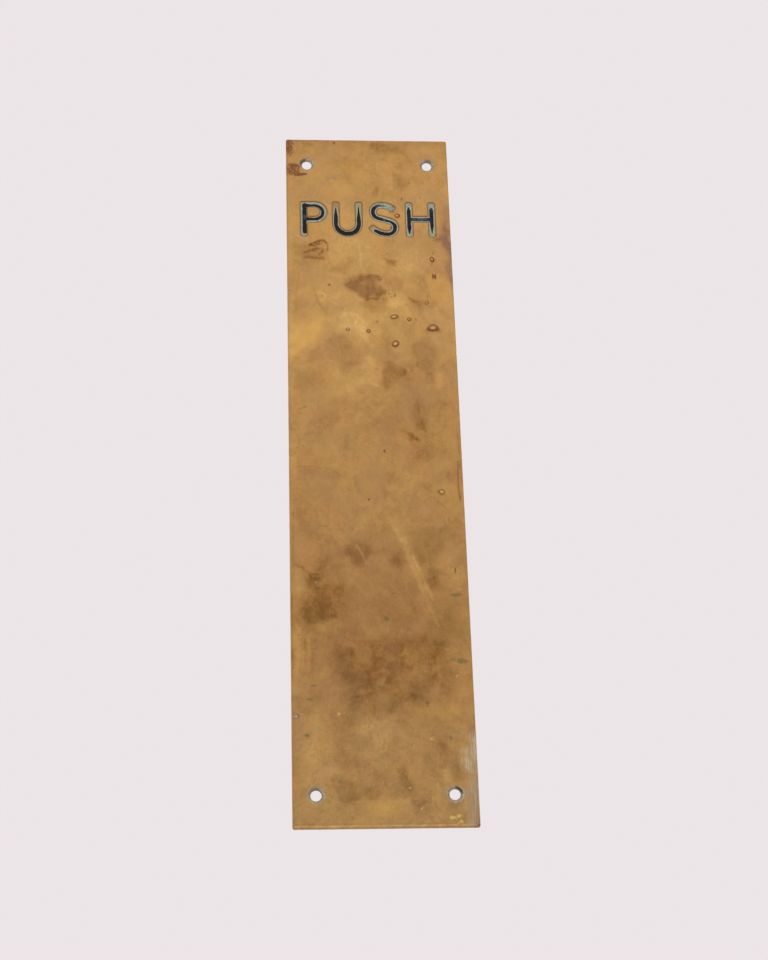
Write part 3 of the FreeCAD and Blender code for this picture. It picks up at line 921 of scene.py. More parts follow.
# Spots by colour: softness, and for each its x, z, half width, half height, tilt and strength.
SPOTS = {
"olive": (0.7, [
    (-26, 150, 1.8, 0.8, 0, 0.6), (26, -144, 2, 3, 0, 0.4), (7, 88, 3, 1, -20, 0.3),
    (-33, -50, 1.5, 8, 0, 0.35), (3.6, 146.5, 0.8, 0.7, 0, 0.95), (-4, 12, 1.2, 0.9, 0, 0.3),
    (1.6, 39.6, 0.8, 0.5, 0, 0.8), (-28.3, 22.3, 1.2, 0.5, 12, 0.8), (29, 13, 1.0, 1.2, 0, 0.6),
    (20, 14, 3, 3.4, 0, 0.3), (26, 14, 3, 2, 0, 0.3),
]),
"red": (0.45, [
    (-21.6, 100.2, 2.8, 1.0, 14, 0.42), (-23.2, 96.2, 3.4, 0.9, 18, 0.34), (-24, 92.8, 3.2, 0.6, 0, 0.26),
    (-33.6, 148.4, 2.0, 5.0, 0, 0.62), (-32.4, 136.8, 3.8, 3.0, 4, 0.6), (-28.4, 134.3, 2.6, 0.7, 8, 0.8),
    (-30.6, 139.3, 3.0, 0.9, 0, 0.45), (-28.3, 141.0, 0.8, 0.8, 0, 0.95), (-14, 150.8, 0.7, 0.7, 0, 0.8),
    (26, 90.0, 0.6, 0.9, 0, 0.42), (27, 94.9, 0.5, 0.4, 0, 0.55), (26.5, 83.9, 0.42, 1.3, 0, 0.85),
    (27.45, 83.7, 0.44, 1.4, 0, 0.9), (10.4, 115.8, 1.4, 0.6, 0, 0.5), (14.6, 122.2, 0.5, 1.0, 0, 0.55),
    (22.2, 122.8, 0.4, 0.8, 0, 0.55), (28.8, 102, 2.2, 1.2, 0, 0.45), (-3.3, -19.1, 0.6, 0.6, 0, 0.7),
    (-12, 32.6, 0.35, 0.4, 0, 0.75), (-33.9, 78, 0.4, 9, 0, 0.3), (18, 130.8, 0.4, 0.4, 0, 0.6),
    (34.2, -151.8, 0.8, 0.5, 0, 0.5), (-10.6, 85.6, 0.4, 0.35, 0, 0.7), (-6, 81, 0.9, 0.7, 0, 0.5),
    (9.6, 107.8, 0.6, 1.2, 0, 0.55), (-20.4, 74, 0.5, 0.4, 0, 0.7), (-17.3, 79.6, 0.6, 0.5, 0, 0.4),
    (7.6, 75.6, 0.4, 0.4, 0, 0.8), (9.2, 76.8, 0.4, 0.5, 0, 0.7), (10.2, 74.6, 0.5, 0.8, 0, 0.6),
    (8.6, 73.8, 0.4, 0.4, 0, 0.6), (18.8, 62.8, 0.9, 0.4, -30, 0.5), (28.4, 62.8, 0.4, 0.4, 0, 0.4),
    (-3.4, 58.5, 0.35, 0.35, 0, 0.7), (-1.5, 56, 0.3, 0.8, 0, 0.4), (-24, 58.8, 0.6, 0.35, 0, 0.4),
    (-22.2, 56, 0.3, 0.5, 0, 0.4), (2.2, 62.2, 0.6, 0.6, 0, 0.45), (3.6, 2.2, 0.4, 0.8, 0, 0.6),
    (-12, 0.6, 0.4, 0.4, 0, 0.5), (-22, -72, 1.2, 0.6, 0, 0.3), (16.8, -104.6, 0.8, 1.2, 0, 0.5),
    (30, -50, 0.5, 1.6, 0, 0.5), (-9.8, -103.6, 0.6, 0.4, 0, 0.5),
]),
# Grey spots; the one on the chip at the left edge, at x -33.7, is a painted highlight.
"grey_and_highlight": (0.6, [
    (34.2, -123, 0.3, 3.4, 0, 0.6), (-33.7, -109.2, 1.1, 0.6, 0, 0.85), (-15.2, 131.6, 0.5, 0.5, 0, 0.6),
    (28.6, -143, 0.9, 0.8, 0, 0.35), (-24.6, -54.4, 0.5, 0.4, 0, 0.38), (-24.2, -56, 0.8, 0.4, 0, 0.3),
]),
"green": (0.6, [
    (2.3, -70, 1.0, 0.9, 0, 1.1), (2, -72.6, 0.5, 0.7, 0, 0.6), (-26.4, -97, 0.9, 0.45, 0, 0.95),
    (-30, -96.3, 3.4, 0.22, -10, 0.6), (-28, -102.4, 1.5, 0.5, 5, 0.8), (-29, -116.6, 1.2, 0.7, 0, 0.8),
    (-31.8, -76.4, 1.3, 0.7, 0, 0.5), (27, -86.8, 1.3, 0.5, 0, 0.7), (31, -87.4, 2.6, 1.1, 0, 0.75),
    (29.8, -60, 2.6, 0.8, 0, 0.75), (25.3, -118, 0.6, 1.0, 0, 0.85), (-11.5, -143.3, 1.6, 0.5, 0, 0.6),
    (-12, -132.4, 1.5, 0.6, 0, 0.45), (30, -49.5, 0.3, 0.8, 0, 0.65), (28.6, -48.2, 0.5, 0.4, 0, 0.7),
    (-29, -150.6, 3.0, 0.6, 0, 0.45), (-23, -135.6, 0.8, 0.4, 0, 0.4), (23, -92.4, 0.8, 0.5, 0, 0.4),
]),
"yellow": (0.4, [
    (22.2, -93.8, 0.6, 0.4, 0, 0.35), (28.6, -93.6, 0.4, 0.5, 0, 0.6), (18, -118.5, 1.2, 0.6, 0, 0.45),
    (-14, -121.8, 2.2, 0.4, 0, 0.35), (-1, -135, 0.45, 0.45, 0, 0.6), (-4.6, -136.2, 0.5, 0.4, 0, 0.45),
    (9, -137.4, 0.9, 0.4, 0, 0.7), (17, -137.2, 0.4, 0.4, 0, 0.45), (13.4, -145, 0.4, 0.5, 0, 0.6),
    (17, -145, 0.3, 0.4, 0, 0.5), (24.4, -148.6, 0.9, 0.7, 0, 1.0), (27.0, -148.1, 1.1, 0.5, 8, 0.95),
    (25.6, -149.2, 0.8, 0.4, -10, 0.8), (28.0, -150.2, 0.6, 0.7, 0, 0.85), (26.8, -151.2, 0.8, 0.4, 10, 0.8),
    (-17, -108.3, 0.8, 0.8, 0, 0.45), (21.5, -97.4, 0.4, 0.4, 0, 0.45), (19.4, -47.2, 0.6, 0.4, 0, 0.4),
]),
}

# Streaks: a run of points, half width, strength.
PALE_STREAKS_AND_EDGE_HIGHLIGHT = [
    ([(4, -27), (8.4, -35), (12.5, -46), (17, -58), (21.5, -70)], 0.9, 0.08),
    ([(7, -31), (10.6, -38), (13.5, -47), (17.6, -58)], 1.3, 0.08),
    ([(13.6, -44), (17.2, -52.6), (20.8, -62)], 0.5, 0.17),
    ([(18.4, -64), (22.4, -73)], 0.3, 0.14),
    ([(-8.6, -38.6), (-6.8, -42), (-5, -46.5)], 0.3, 0.34),
    ([(-27.9, -78), (-28.1, -92)], 0.3, 0.16),
    ([(-30.2, -78), (-30.2, -90)], 0.25, 0.12),
    ([(-4.6, 100), (-3.6, 92), (-4.0, 88)], 0.3, 0.16),
    ([(0, -22), (5, -27), (9, -33)], 1.2, 0.05),
    # Painted highlight: a light line along the lower edge, where its eased rim catches the light.
    ([(-34, -151.75), (34, -151.65)], 0.34, 0.34),
    ([(29.8, -141), (29.9, -146)], 0.3, 0.18),
]
DARK_STREAKS = [
    ([(33.2, -2), (32.8, -12), (33.4, -20)], 0.25, 0.40),
    ([(-33.4, -24), (-33.6, -38), (-33.4, -52)], 0.2, 0.30),
    ([(-25.4, 98.8), (-24.6, 99.6), (-22.6, 100.4), (-20.8, 101.2), (-19, 101.3), (-18.5, 100)], 0.42, 0.62),
    ([(-25.4, 98.8), (-23.4, 98.9), (-21, 99.6)], 0.36, 0.42),
    ([(-18.2, 100.4), (-17.6, 98.4), (-17.9, 96.6)], 0.40, 0.42),
    ([(-27.6, 95.1), (-25.4, 96.0), (-22.0, 97.4)], 0.50, 0.30),
    ([(-21.4, 94.4), (-20.0, 95.4), (-19.6, 97)], 0.3, 0.30),
    ([(-28, 92.6), (-24.6, 92.9), (-21, 92.4), (-19.4, 92.2)], 0.55, 0.24),
    ([(18.5, -13), (20.5, -14.5), (22, -16)], 0.25, 0.18),
    ([(-30, 85), (-31, 76), (-31.5, 66)], 0.35, 0.12),
    ([(-24, 78), (-22, 71), (-19.6, 67)], 0.3, 0.16),
    ([(-33, -47), (-30, -48.4), (-28, -50.6), (-26.6, -52.4)], 0.4, 0.16),
    ([(-27, -51.4), (-25.4, -51.0), (-23.6, -51.4)], 0.3, 0.16),
    ([(-27, -53.2), (-25.4, -53.0), (-23.4, -53.2)], 0.3, 0.18),
    ([(-34, -151.1), (34, -151.0)], 0.3, 0.14),
    ([(31.0, -136), (31.2, -147)], 0.35, 0.12),
    ([(32.6, -127), (32.8, -150)], 0.22, 0.12),
    ([(17.6, 26), (18.4, 18), (21, 11), (25, 9.4), (28, 12), (29, 17)], 0.5, 0.10),
    ([(-34.3, -60), (-34.3, -151)], 0.25, 0.14),
    ([(-29, 9.2), (-27, 10), (-24.6, 10.6)], 0.3, 0.16),
    ([(33.6, 10), (33.9, -6)], 0.3, 0.20),
    ([(5, 88.8), (8, 84.6)], 0.25, 0.10),
    ([(-28, 22), (-31.6, 21)], 0.25, 0.24),
    ([(28.4, -9.6), (29.4, -7.0)], 0.5, 0.14),
    ([(-32, -4.6), (-26, -4.7), (-20, -5.4), (-16, -7.6), (-14.4, -8.6)], 0.25, 0.16),
    ([(-24, -30.4), (-20, -30.8), (-19, -33)], 0.3, 0.14),
]


def spot(x, z, mark, soft=0.55):
    """A blotch with an uneven border: 1 in its middle, 0 outside."""
    cx, cz, rx, rz, tilt, strength = mark
    a = math.radians(tilt)
    size = 0.9 * min(rx, rz)
    wx = x + 0.30 * size * cloud(x, z, size * 1.4, 71, 2)
    wz = z + 0.30 * size * cloud(x, z, size * 1.4, 72, 2)
    u = ((wx - cx) * math.cos(a) + (wz - cz) * math.sin(a)) / rx
    v = (-(wx - cx) * math.sin(a) + (wz - cz) * math.cos(a)) / rz
    return strength * (1 - smooth(np.hypot(u, v), 1 - soft, 1 + soft))


def painted(x, z, marks, soft=0.55):
    """All the marks of one kind over the front, each worked out only near itself."""
    total = np.zeros(len(x))
    for mark in marks:
        reach = 1.8 * max(mark[2], mark[3]) + 1.0
        near = (np.abs(x - mark[0]) < reach) & (np.abs(z - mark[1]) < reach)
        total[near] += spot(x[near], z[near], mark, soft)
    return total


def distance_inside(x, z, border):
    """How far each place is inside a closed border, negative outside it."""
    best = np.full(len(x), 1e9)
    inside = np.zeros(len(x), bool)
    for (x0, z0), (x1, z1) in zip(border, border[1:] + border[:1]):
        ex, ez = x1 - x0, z1 - z0
        t = np.clip(((x - x0) * ex + (z - z0) * ez) / (ex * ex + ez * ez), 0, 1)
        best = np.minimum(best, np.hypot(x - x0 - t * ex, z - z0 - t * ez))
        if z0 != z1:
            crossing = ((z0 > z) != (z1 > z)) & (x < x0 + (z - z0) * ex / ez)
            inside ^= crossing
    return np.where(inside, best, -best)


def patched(x, z, kind):
    """All the patches of one kind, with borders roughened by noise, here sharp and there faded."""
    total = np.zeros(len(x))
    wx = x + rough(x, z, (1.1, 6.0, 61), (0.6, 2.4, 62), (0.3, 1.1, 65))
    wz = z + rough(x, z, (1.1, 6.0, 63), (0.6, 2.4, 64), (0.3, 1.1, 66))
    blur = 0.9 + 2.0 * smooth(value_noise(x, z, 7.0, 67), -0.4, 0.6)
    uneven = STAIN_STRENGTH * (1 + rough(x, z, (0.24, 3.2, 68), (0.20, 1.3, 69)))
    for strength, soft, border, *fall in PATCHES[kind]:
        xs, zs = zip(*border)
        edge = 4.0 * soft + 3.0
        near = (x > min(xs) - edge) & (x < max(xs) + edge) & (z > min(zs) - edge) & (z < max(zs) + edge)
        depth = distance_inside(wx[near], wz[near], border)
        half = soft * blur[near]
        cover = smooth(depth, -half, half) * (0.75 + 0.25 * smooth(depth, 0.0, 2.5))
        lowered = (max(zs) - z[near]) / (max(zs) - min(zs))
        total[near] += strength * cover * uneven[near] * (1 - sum(fall) * np.clip(lowered, 0, 1))
    return total


def streaked(x, z, streaks):
    """All the streaks of one list, each of uneven width."""
    total = np.zeros(len(x))
    for run, half, strength in streaks:
        best = np.full(len(x), 1e9)
        for (x0, z0), (x1, z1) in zip(run, run[1:]):
            length = math.hypot(x1 - x0, z1 - z0)
            ax, az = (x1 - x0) / length, (z1 - z0) / length
            s = np.clip((x - x0) * ax + (z - z0) * az, 0, length)
            best = np.minimum(best, np.hypot(x - x0 - ax * s, z - z0 - az * s))
        wobble = half * (1 + 0.35 * value_noise(x, z, 2.0, 77))
        total += strength * (1 - smooth(best, 0.3 * wobble, 1.7 * wobble))
    return total


def dent_shade_and_highlight(x, z):
    """A dark red-brown ring round the dents' rims, dirt with painted shade heavier on the lower side, and a
    painted highlight in their middles.
    """
    rim, middle = np.zeros(len(x)), np.zeros(len(x))
    for dent in DENTS:
        stain, highlight = dent[7], dent[8]
        u, v, q = dent_place(x, z, dent)
        # Painted shade: the ring is heavier on each dent's lower side.
        low_side = np.clip(0.5 - 0.6 * v, 0, 1)
        band = 0.20 + 0.20 * low_side
        ring = np.exp(-(((q - 1.0 + 0.75 * band) / band) ** 2))
        rim = np.maximum(rim, stain * ring * (0.65 + 0.60 * low_side))
        # Painted highlight: a bright band a little above each dent's middle.
        lit = np.exp(-((u / 0.50) ** 2)) * np.exp(-(((v - 0.16) / 0.22) ** 2))
        middle = np.maximum(middle, highlight * lit)
    return rim, middle


# The screw holes in the order low left, high left, low right, high right:
# the side of each seat darkened by a painted shadow, in degrees, how dark that painted shadow is, and how
# crusted its edge is.
SEAT_SHADOW_SIDES = [112, 140, 46, 70]
SEAT_SHADOW = [0.45, 1.0, 1.1, 0.45]
CRUSTED = [0.55, 0.0, 1.30, 0.25]


def points_of(mesh):
    """A mesh's points in mm."""
    co = np.empty(len(mesh.vertices) * 3, np.float32)
    mesh.vertices.foreach_get("co", co)
    co = co.reshape(-1, 3).astype(float) / MM
    return co[:, 0], co[:, 1], co[:, 2]


def write_fields(mesh, fields):
    for name, values in fields.items():
        layer = mesh.attributes.new(name, "FLOAT", "POINT")
        layer.data.foreach_set("value", values.astype(np.float32))


def hole_marks(x, z):
    """Round the screw holes: the worn seats, the dried polish at their rims, and a painted shadow on one side
    of each seat.
    """
    hole, residue, shadowed = np.zeros(len(x)), np.zeros(len(x)), np.zeros(len(x))
    for (hx, hz), shadow_side, seat_shadow, crusted in zip(holes(), SEAT_SHADOW_SIDES, SEAT_SHADOW, CRUSTED):
        bore = np.hypot(x - hx, z - hz)
        turn = np.cos(np.arctan2(z - hz, x - hx) - math.radians(shadow_side))
        hole = np.maximum(hole, 1 - smooth(bore, 3.0, 3.4))
        # Painted shadow on one side of each seat.
        shadowed = np.maximum(shadowed, seat_shadow * smooth(turn, 0.55, 0.95) * (1 - smooth(bore, 2.7, 3.3)))
        reach = 3.35 + 0.35 * value_noise(x, z, 1.8, 92)
        loose = 0.60 + 0.9 * value_noise(x, z, 1.3, 91) + 0.25 * (x - hx) / 3.0
        residue = np.maximum(residue, crusted * loose * np.exp(-(((bore - reach) / 0.42) ** 2)))
    return hole, residue, shadowed


def paint_brass(obj):
    """Writes the brass's marks on its points, for the material to read."""
    x, y, z = points_of(obj.data)
    front = 1 - smooth(y, -1.0, -0.2)
    tone = profile(TONE_BY_HEIGHT, z) + 0.04 * cloud(x, z, 26.0, 81, 3)
    tone += patched(x, z, "pale") - patched(x, z, "dark")
    # Lighter and darker streaks; the lighter ones include a painted highlight along the lower edge.
    tone += streaked(x, z, PALE_STREAKS_AND_EDGE_HIGHLIGHT) - streaked(x, z, DARK_STREAKS)
    # Dirt with painted shade round the dents' rims, and painted highlights in their middles.
    dent_rim_dirt_and_shade, dent_highlight = dent_shade_and_highlight(x, z)
    hole, residue, seat_shadow = hole_marks(x, z)
    marks = {kind: patched(x, z, kind) for kind in ("olive", "mauve", "gold", "purple", "haze")}
    for kind, (soft, spots) in SPOTS.items():
        marks[kind] = marks.get(kind, 0.0) + painted(x, z, spots, soft)
    marks["residue"] = residue
    marks["lower"] = 1 - smooth(z + 0.3 * x, -118, -84)
    # The letters' groove walls and rims darkened: tarnish with painted shade.
    marks["rim"] = profile(GROOVE_TARNISH_AND_SHADE, core_distance(all_cores(), x, z))
    marks["dent_rim_dirt_and_shade"] = dent_rim_dirt_and_shade
    marks["seat_shadow"] = seat_shadow
    marks["dent_highlight"] = dent_highlight
    fields = {name: mark * front for name, mark in marks.items()}
    fields.update(tone=tone, hole=hole, front=front)
    write_fields(obj.data, {name: np.clip(field, -1.0, 1.5) for name, field in fields.items()})


# ======================================================================
# Materials
# ======================================================================
# The colour of the even light all round, as a linear colour.
STUDIO_LIGHT = (0.840, 0.784, 0.799)


def srgb(r, g, b):
    """A colour given as 0 to 255 on screen, as the shader's linear colour."""
    out = []
    for value in (r, g, b):
        v = value / 255.0
        out.append(v / 12.92 if v <= 0.04045 else ((v + 0.055) / 1.055) ** 2.4)
    return (*out, 1.0)


class Shader:
    """Short names for building one material's nodes. Sizes are in millimetres."""

    def __init__(self, name):
        self.material = bpy.data.materials.new(name)
        self.material.use_nodes = True
        self.tree = self.material.node_tree
        self.bsdf = self.tree.nodes["Principled BSDF"]
        self.place = self.node("ShaderNodeTexCoord").outputs["Object"]
        self.mm = self.stretched(self.place, (1 / MM, 1 / MM, 1 / MM))

    def node(self, kind, inputs=None, **settings):
        n = self.tree.nodes.new(kind)
        for key, value in settings.items():
            setattr(n, key, value)
        for key, value in (inputs or {}).items():
            self.put(n.inputs[key], value)
        return n

    def put(self, socket, value):
        """Links a node's output to a socket, or sets the socket to a plain value."""
        if hasattr(value, "is_output"):
            self.tree.links.new(value, socket)
        else:
            socket.default_value = value

    def look(self, **values):
        """Sets the surface: base_color, roughness and so on, each a value or an output."""
        for name, value in values.items():
            label = name.replace("_", " ").title().replace("Ior", "IOR")
            self.put(self.bsdf.inputs[label], value)
        return self.material

    def stretched(self, vector, scale, turn=0.0):
        rotation = (0.0, math.radians(turn), 0.0)
        n = self.node("ShaderNodeMapping", {"Vector": vector, "Rotation": rotation, "Scale": scale})
        return n.outputs["Vector"]

    def coordinates(self, stretch, turn):
        return self.stretched(self.mm, stretch, turn) if stretch else self.mm

    def noise(self, scale, detail=3.0, stretch=None, turn=0.0, warp=0.0, rough=0.55):
        n = self.node("ShaderNodeTexNoise", {
            "Vector": self.coordinates(stretch, turn), "Scale": scale, "Detail": detail,
            "Distortion": warp, "Roughness": rough,
        })
        return n.outputs["Fac"]

    def warped(self, scale, amount):
        """Object coordinates pushed about by noise."""
        n = self.node("ShaderNodeTexNoise", {"Vector": self.mm, "Scale": scale, "Detail": 4.0})
        push = {0: n.outputs["Color"], 1: (amount, amount, amount), 2: self.mm}
        return self.node("ShaderNodeVectorMath", push, operation="MULTIPLY_ADD").outputs[0]

    def films(self, scale, vector, blur):
        """A patchwork of cells: two numbers from 0 to 1, even within each cell."""
        film = {"Vector": vector, "Scale": scale, "Smoothness": blur}
        n = self.node("ShaderNodeTexVoronoi", film, feature="SMOOTH_F1")
        split = self.node("ShaderNodeSeparateColor", {0: n.outputs["Color"]})
        return split.outputs[0], split.outputs[1]

    def cells(self, scale, stretch=None, turn=0.0):
        """Distance from the middle of scattered cells."""
        n = self.node("ShaderNodeTexVoronoi", {"Vector": self.coordinates(stretch, turn), "Scale": scale})
        return n.outputs["Distance"]

    def attribute(self, name):
        return self.node("ShaderNodeAttribute", attribute_name=name).outputs["Fac"]

    def math(self, operation, *values):
        return self.node("ShaderNodeMath", dict(enumerate(values)), operation=operation).outputs[0]

    def add(self, a, b):
        return self.math("ADD", a, b)

    def times(self, a, b):
        return self.math("MULTIPLY", a, b)

    def scaled(self, a, by, plus):
        return self.math("MULTIPLY_ADD", a, by, plus)

    def most(self, first, *others):
        """The largest of several masks."""
        for other in others:
            first = self.math("MAXIMUM", first, other)
        return first

    def step(self, value, low, high, start=0.0, end=1.0):
        """Eases from one value to another as the input goes from low to high."""
        ends = {"Value": value, "From Min": low, "From Max": high, "To Min": start, "To Max": end}
        return self.node("ShaderNodeMapRange", ends, interpolation_type="SMOOTHSTEP").outputs[0]

    def mix(self, factor, a, b):
        # A mix node's sockets 6 and 7 are its two colours, and its output 2 is the mixed colour.
        sockets = {0: factor, 6: a, 7: b}
        return self.node("ShaderNodeMix", sockets, data_type="RGBA", clamp_factor=True).outputs[2]

    def over(self, colour, mask, strength, shade):
        """A shade laid over a colour where the mask is."""
        return self.mix(self.times(mask, strength), colour, shade)

    def ramp(self, value, stops):
        n = self.node("ShaderNodeValToRGB", {0: value})
        line = n.color_ramp.elements
        while len(line) < len(stops):
            line.new(0.5)
        for element, (place, colour) in zip(line, stops):
            element.position = place
            element.color = colour
        return n.outputs[0]

    def bump(self, height, distance, strength=1.0, normal=None):
        n = self.node("ShaderNodeBump", {"Strength": strength, "Distance": distance, "Height": height})
        if normal is not None:
            self.put(n.inputs["Normal"], normal)
        return n.outputs["Normal"]


def seen(r, g, b):
    """A brass colour as it looks in this studio's light, turned back into its own colour."""
    lit = srgb(r, g, b)
    return (*(value / light for value, light in zip(lit, STUDIO_LIGHT)), 1.0)


class Brass(Shader):
    """The plate's old brass: the noises its layers share, and a method for each layer."""

    def __init__(self):
        super().__init__("old_brass")
        self.cloudy = self.noise(0.055, 4.0, warp=0.8)
        self.patch = self.noise(0.15, 5.0, warp=0.9, rough=0.6)
        self.blotch = self.noise(0.31, 4.0, (1.0, 1.0, 0.8), 35.0, 0.6)
        self.fine = self.noise(0.85, 4.0, rough=0.6)
        self.grit = self.noise(1.5, 5.0, rough=0.7)
        self.grain = self.noise(2.6, 3.0)
        self.hair_up = self.noise(1.0, 3.0, (5.5, 1.0, 0.09), 2.0)
        self.hair_slant = self.noise(1.0, 3.0, (6.0, 1.0, 0.16), 31.0)
        self.hair_cross = self.noise(1.0, 2.0, (7.0, 1.0, 0.22), -58.0)
        self.wide, self.wide_hue = self.films(0.085, self.warped(0.07, 16.0), 0.25)
        self.close, self.close_hue = self.films(0.21, self.warped(0.20, 7.0), 0.35)
        self.front = self.attribute("front")

    def tone(self):
        """How light the brass is: the broad marks, dried-on films and blotches, fine unevenness."""
        tone = self.attribute("tone")
        dried, small = self.step(self.patch, 0.50, 0.56), self.step(self.blotch, 0.50, 0.60)
        layers = [
            (self.patch, 0.36), (self.wide, 0.09), (self.close, 0.10), (dried, -0.05),
            (small, -0.05), (self.fine, 0.32), (self.hair_up, 0.08), (self.grain, 0.22),
        ]
        for layer, swing in layers:
            tone = self.add(tone, self.scaled(layer, swing, -0.5 * swing))
        return tone

    def clouded(self, tone):
        """Brass in warmer and cooler clouds, faint where a stain already hides the metal."""
        colour = self.ramp(tone, [
            (0.0, seen(114, 74, 35)), (0.20, seen(137, 95, 51)), (0.40, seen(158, 115, 68)),
            (0.60, seen(175, 133, 80)), (0.80, seen(192, 150, 91)), (1.0, seen(212, 174, 114)),
        ])
        open_metal = self.step(tone, 0.0, 0.42, 0.20, 1.0)
        warm = self.step(self.noise(0.10, 4.0, (1.0, 1.0, 0.7), 12.0, 0.8), 0.48, 0.60)
        colour = self.over(colour, self.times(warm, open_metal), 0.26, seen(186, 134, 84))
        cool = self.step(self.noise(0.17, 4.0, (1.2, 1.0, 0.9), 40.0, 0.8), 0.50, 0.62)
        colour = self.over(colour, self.times(cool, open_metal), 0.22, seen(156, 122, 68))
        colour = self.mix(self.step(self.wide_hue, 0.55, 0.85, 0.0, 0.18), colour, seen(164, 126, 90))
        colour = self.mix(self.step(self.close_hue, 0.60, 0.85, 0.0, 0.17), colour, seen(150, 122, 74))
        colour = self.browned_end(colour)
        yellowed = self.times(self.step(self.cloudy, 0.50, 0.62), open_metal)
        return self.over(colour, yellowed, 0.22, seen(188, 146, 80))

    def browned_end(self, colour):
        """The lower end, more tarnished, with spots rubbed bare."""
        lower = self.attribute("lower")
        colour = self.over(colour, lower, 0.20, seen(160, 132, 92))
        tarnish = self.step(self.noise(0.42, 5.0, warp=0.8, rough=0.68), 0.49, 0.60)
        colour = self.over(colour, self.times(tarnish, lower), 0.34, seen(132, 106, 64))
        rubbed = self.step(self.noise(0.75, 4.0, (1.0, 1.0, 0.6), 60.0, rough=0.7), 0.58, 0.66)
        return self.over(colour, self.times(rubbed, lower), 0.30, seen(188, 152, 96))

    def washed(self, colour, name, gain, shade):
        """A stain laid thinly, more in some places than others."""
        uneven = self.times(self.attribute(name), self.scaled(self.patch, 1.4, 0.3))
        return self.over(colour, uneven, gain, shade)

    def laid(self, colour, name, shade, gain, ragged, breaker):
        """A mark that hides what is under it, its border broken up by noise."""
        broken = self.add(self.attribute(name), self.scaled(breaker, ragged, -0.5 * ragged))
        within = self.step(self.attribute(name), 0.0, 0.15, 0.0, gain)
        amount = self.times(self.step(broken, 0.20, 0.80), within)
        return self.mix(amount, colour, shade), amount

    def stained(self, colour):
        """Stains, bloom and spots. Also gives back how dull they leave the surface."""
        colour = self.washed(colour, "gold", 0.58, seen(202, 155, 84))
        colour = self.washed(colour, "mauve", 0.55, seen(158, 118, 80))
        colour = self.washed(colour, "olive", 0.46, seen(140, 110, 66))
        dragged = self.noise(1.0, 4.0, (2.6, 1.0, 0.16), 1.5, rough=0.7)
        haze = self.times(self.attribute("haze"), self.step(dragged, 0.36, 0.66, 0.15, 1.5))
        colour = self.mix(haze, colour, seen(182, 165, 138))
        colour = self.washed(colour, "purple", 1.0, seen(134, 98, 76))
        streaky = self.noise(1.0, 4.0, (2.2, 1.0, 0.35), rough=0.7)
        colour, red = self.laid(colour, "red", seen(116, 64, 36), 0.85, 2.2, self.grit)
        # Grey spots, one of them a painted highlight on the chip at the left edge.
        colour, grey_and_highlight = self.laid(colour, "grey_and_highlight", seen(184, 168, 152), 0.85, 2.4, streaky)
        colour, green = self.laid(colour, "green", seen(106, 98, 60), 0.65, 1.2, self.grit)
        colour, residue = self.laid(colour, "residue", seen(160, 154, 130), 0.85, 1.6, self.grit)
        colour, _ = self.laid(colour, "yellow", seen(206, 172, 98), 0.85, 2.2, self.grit)
        return colour, self.most(red, green, grey_and_highlight, residue)

    def specks(self):
        """Small dark dots of tarnish, in some places only."""
        dots = self.step(self.cells(0.33), 0.05, 0.13, 1.0, 0.0)
        few = self.step(self.noise(0.09, 2.0), 0.54, 0.64)
        return self.times(self.times(dots, few), self.front)

    def glints(self):
        """Painted glints: small bright dots standing for light caught on tiny nicks."""
        dots = self.step(self.cells(0.52, (1.0, 1.0, 0.8), 25.0), 0.03, 0.09, 1.0, 0.0)
        return self.times(dots, self.step(self.noise(0.07, 2.0, (1, 1, 1), 70.0), 0.54, 0.66))

    def scratches(self):
        """Fine polishing scratches, light where the brass is bare."""
        return self.most(self.step(self.hair_slant, 0.60, 0.74), self.step(self.hair_cross, 0.64, 0.76))

    def capped(self, colour, mask, most, shade):
        """A shade laid over a colour, never quite hiding it."""
        return self.mix(self.math("MINIMUM", self.times(mask, most), most), colour, shade)

    def wear_with_painted_light(self, colour, rim):
        """Tarnish with painted shade along the letters' grooves, dirt with painted shade round the dents,
        painted highlights in the dents' middles, the seats, and a painted shadow on one side of each seat.
        """
        # Tarnish with painted shade along the letters' groove walls and rims.
        colour = self.capped(colour, rim, 0.90, seen(104, 78, 42))
        # A dark red-brown ring round each dent: dirt with painted shade.
        dent_rim_dirt_and_shade = self.times(self.attribute("dent_rim_dirt_and_shade"), self.scaled(self.fine, 0.7, 0.65))
        colour = self.capped(colour, dent_rim_dirt_and_shade, 0.95, seen(108, 58, 30))
        # A painted highlight in the dents' middles.
        colour = self.over(colour, self.attribute("dent_highlight"), 0.80, seen(220, 196, 150))
        hole = self.times(self.attribute("hole"), self.scaled(self.fine, 0.6, 0.40))
        seat_shade = self.mix(self.step(self.grit, 0.40, 0.60), seen(146, 144, 132), seen(192, 192, 180))
        colour = self.over(colour, hole, 0.9, seat_shade)
        # A painted shadow on one side of each seat.
        seat_shadow = self.times(self.attribute("seat_shadow"), self.scaled(self.fine, 0.7, 0.65))
        return self.over(colour, seat_shadow, 0.90, seen(70, 54, 42))

    def back_colour(self):
        """The back has never been polished: dull, browner, and stained."""
        stain = self.noise(0.045, 5.0, (1.0, 1.0, 0.8), 8.0, 0.35, 0.60)
        colour = self.ramp(stain, [
            (0.30, seen(112, 84, 52)), (0.46, seen(136, 102, 62)),
            (0.58, seen(150, 114, 70)), (0.74, seen(166, 130, 82)),
        ])
        colour = self.over(colour, self.step(self.close, 0.35, 0.75), 0.22, seen(120, 88, 54))
        colour = self.over(colour, self.step(self.blotch, 0.52, 0.70), 0.30, seen(122, 116, 84))
        colour = self.over(colour, self.step(self.grit, 0.62, 0.74), 0.45, seen(92, 66, 42))
        return self.over(colour, self.step(self.hair_up, 0.45, 0.75), 0.22, seen(180, 146, 98))

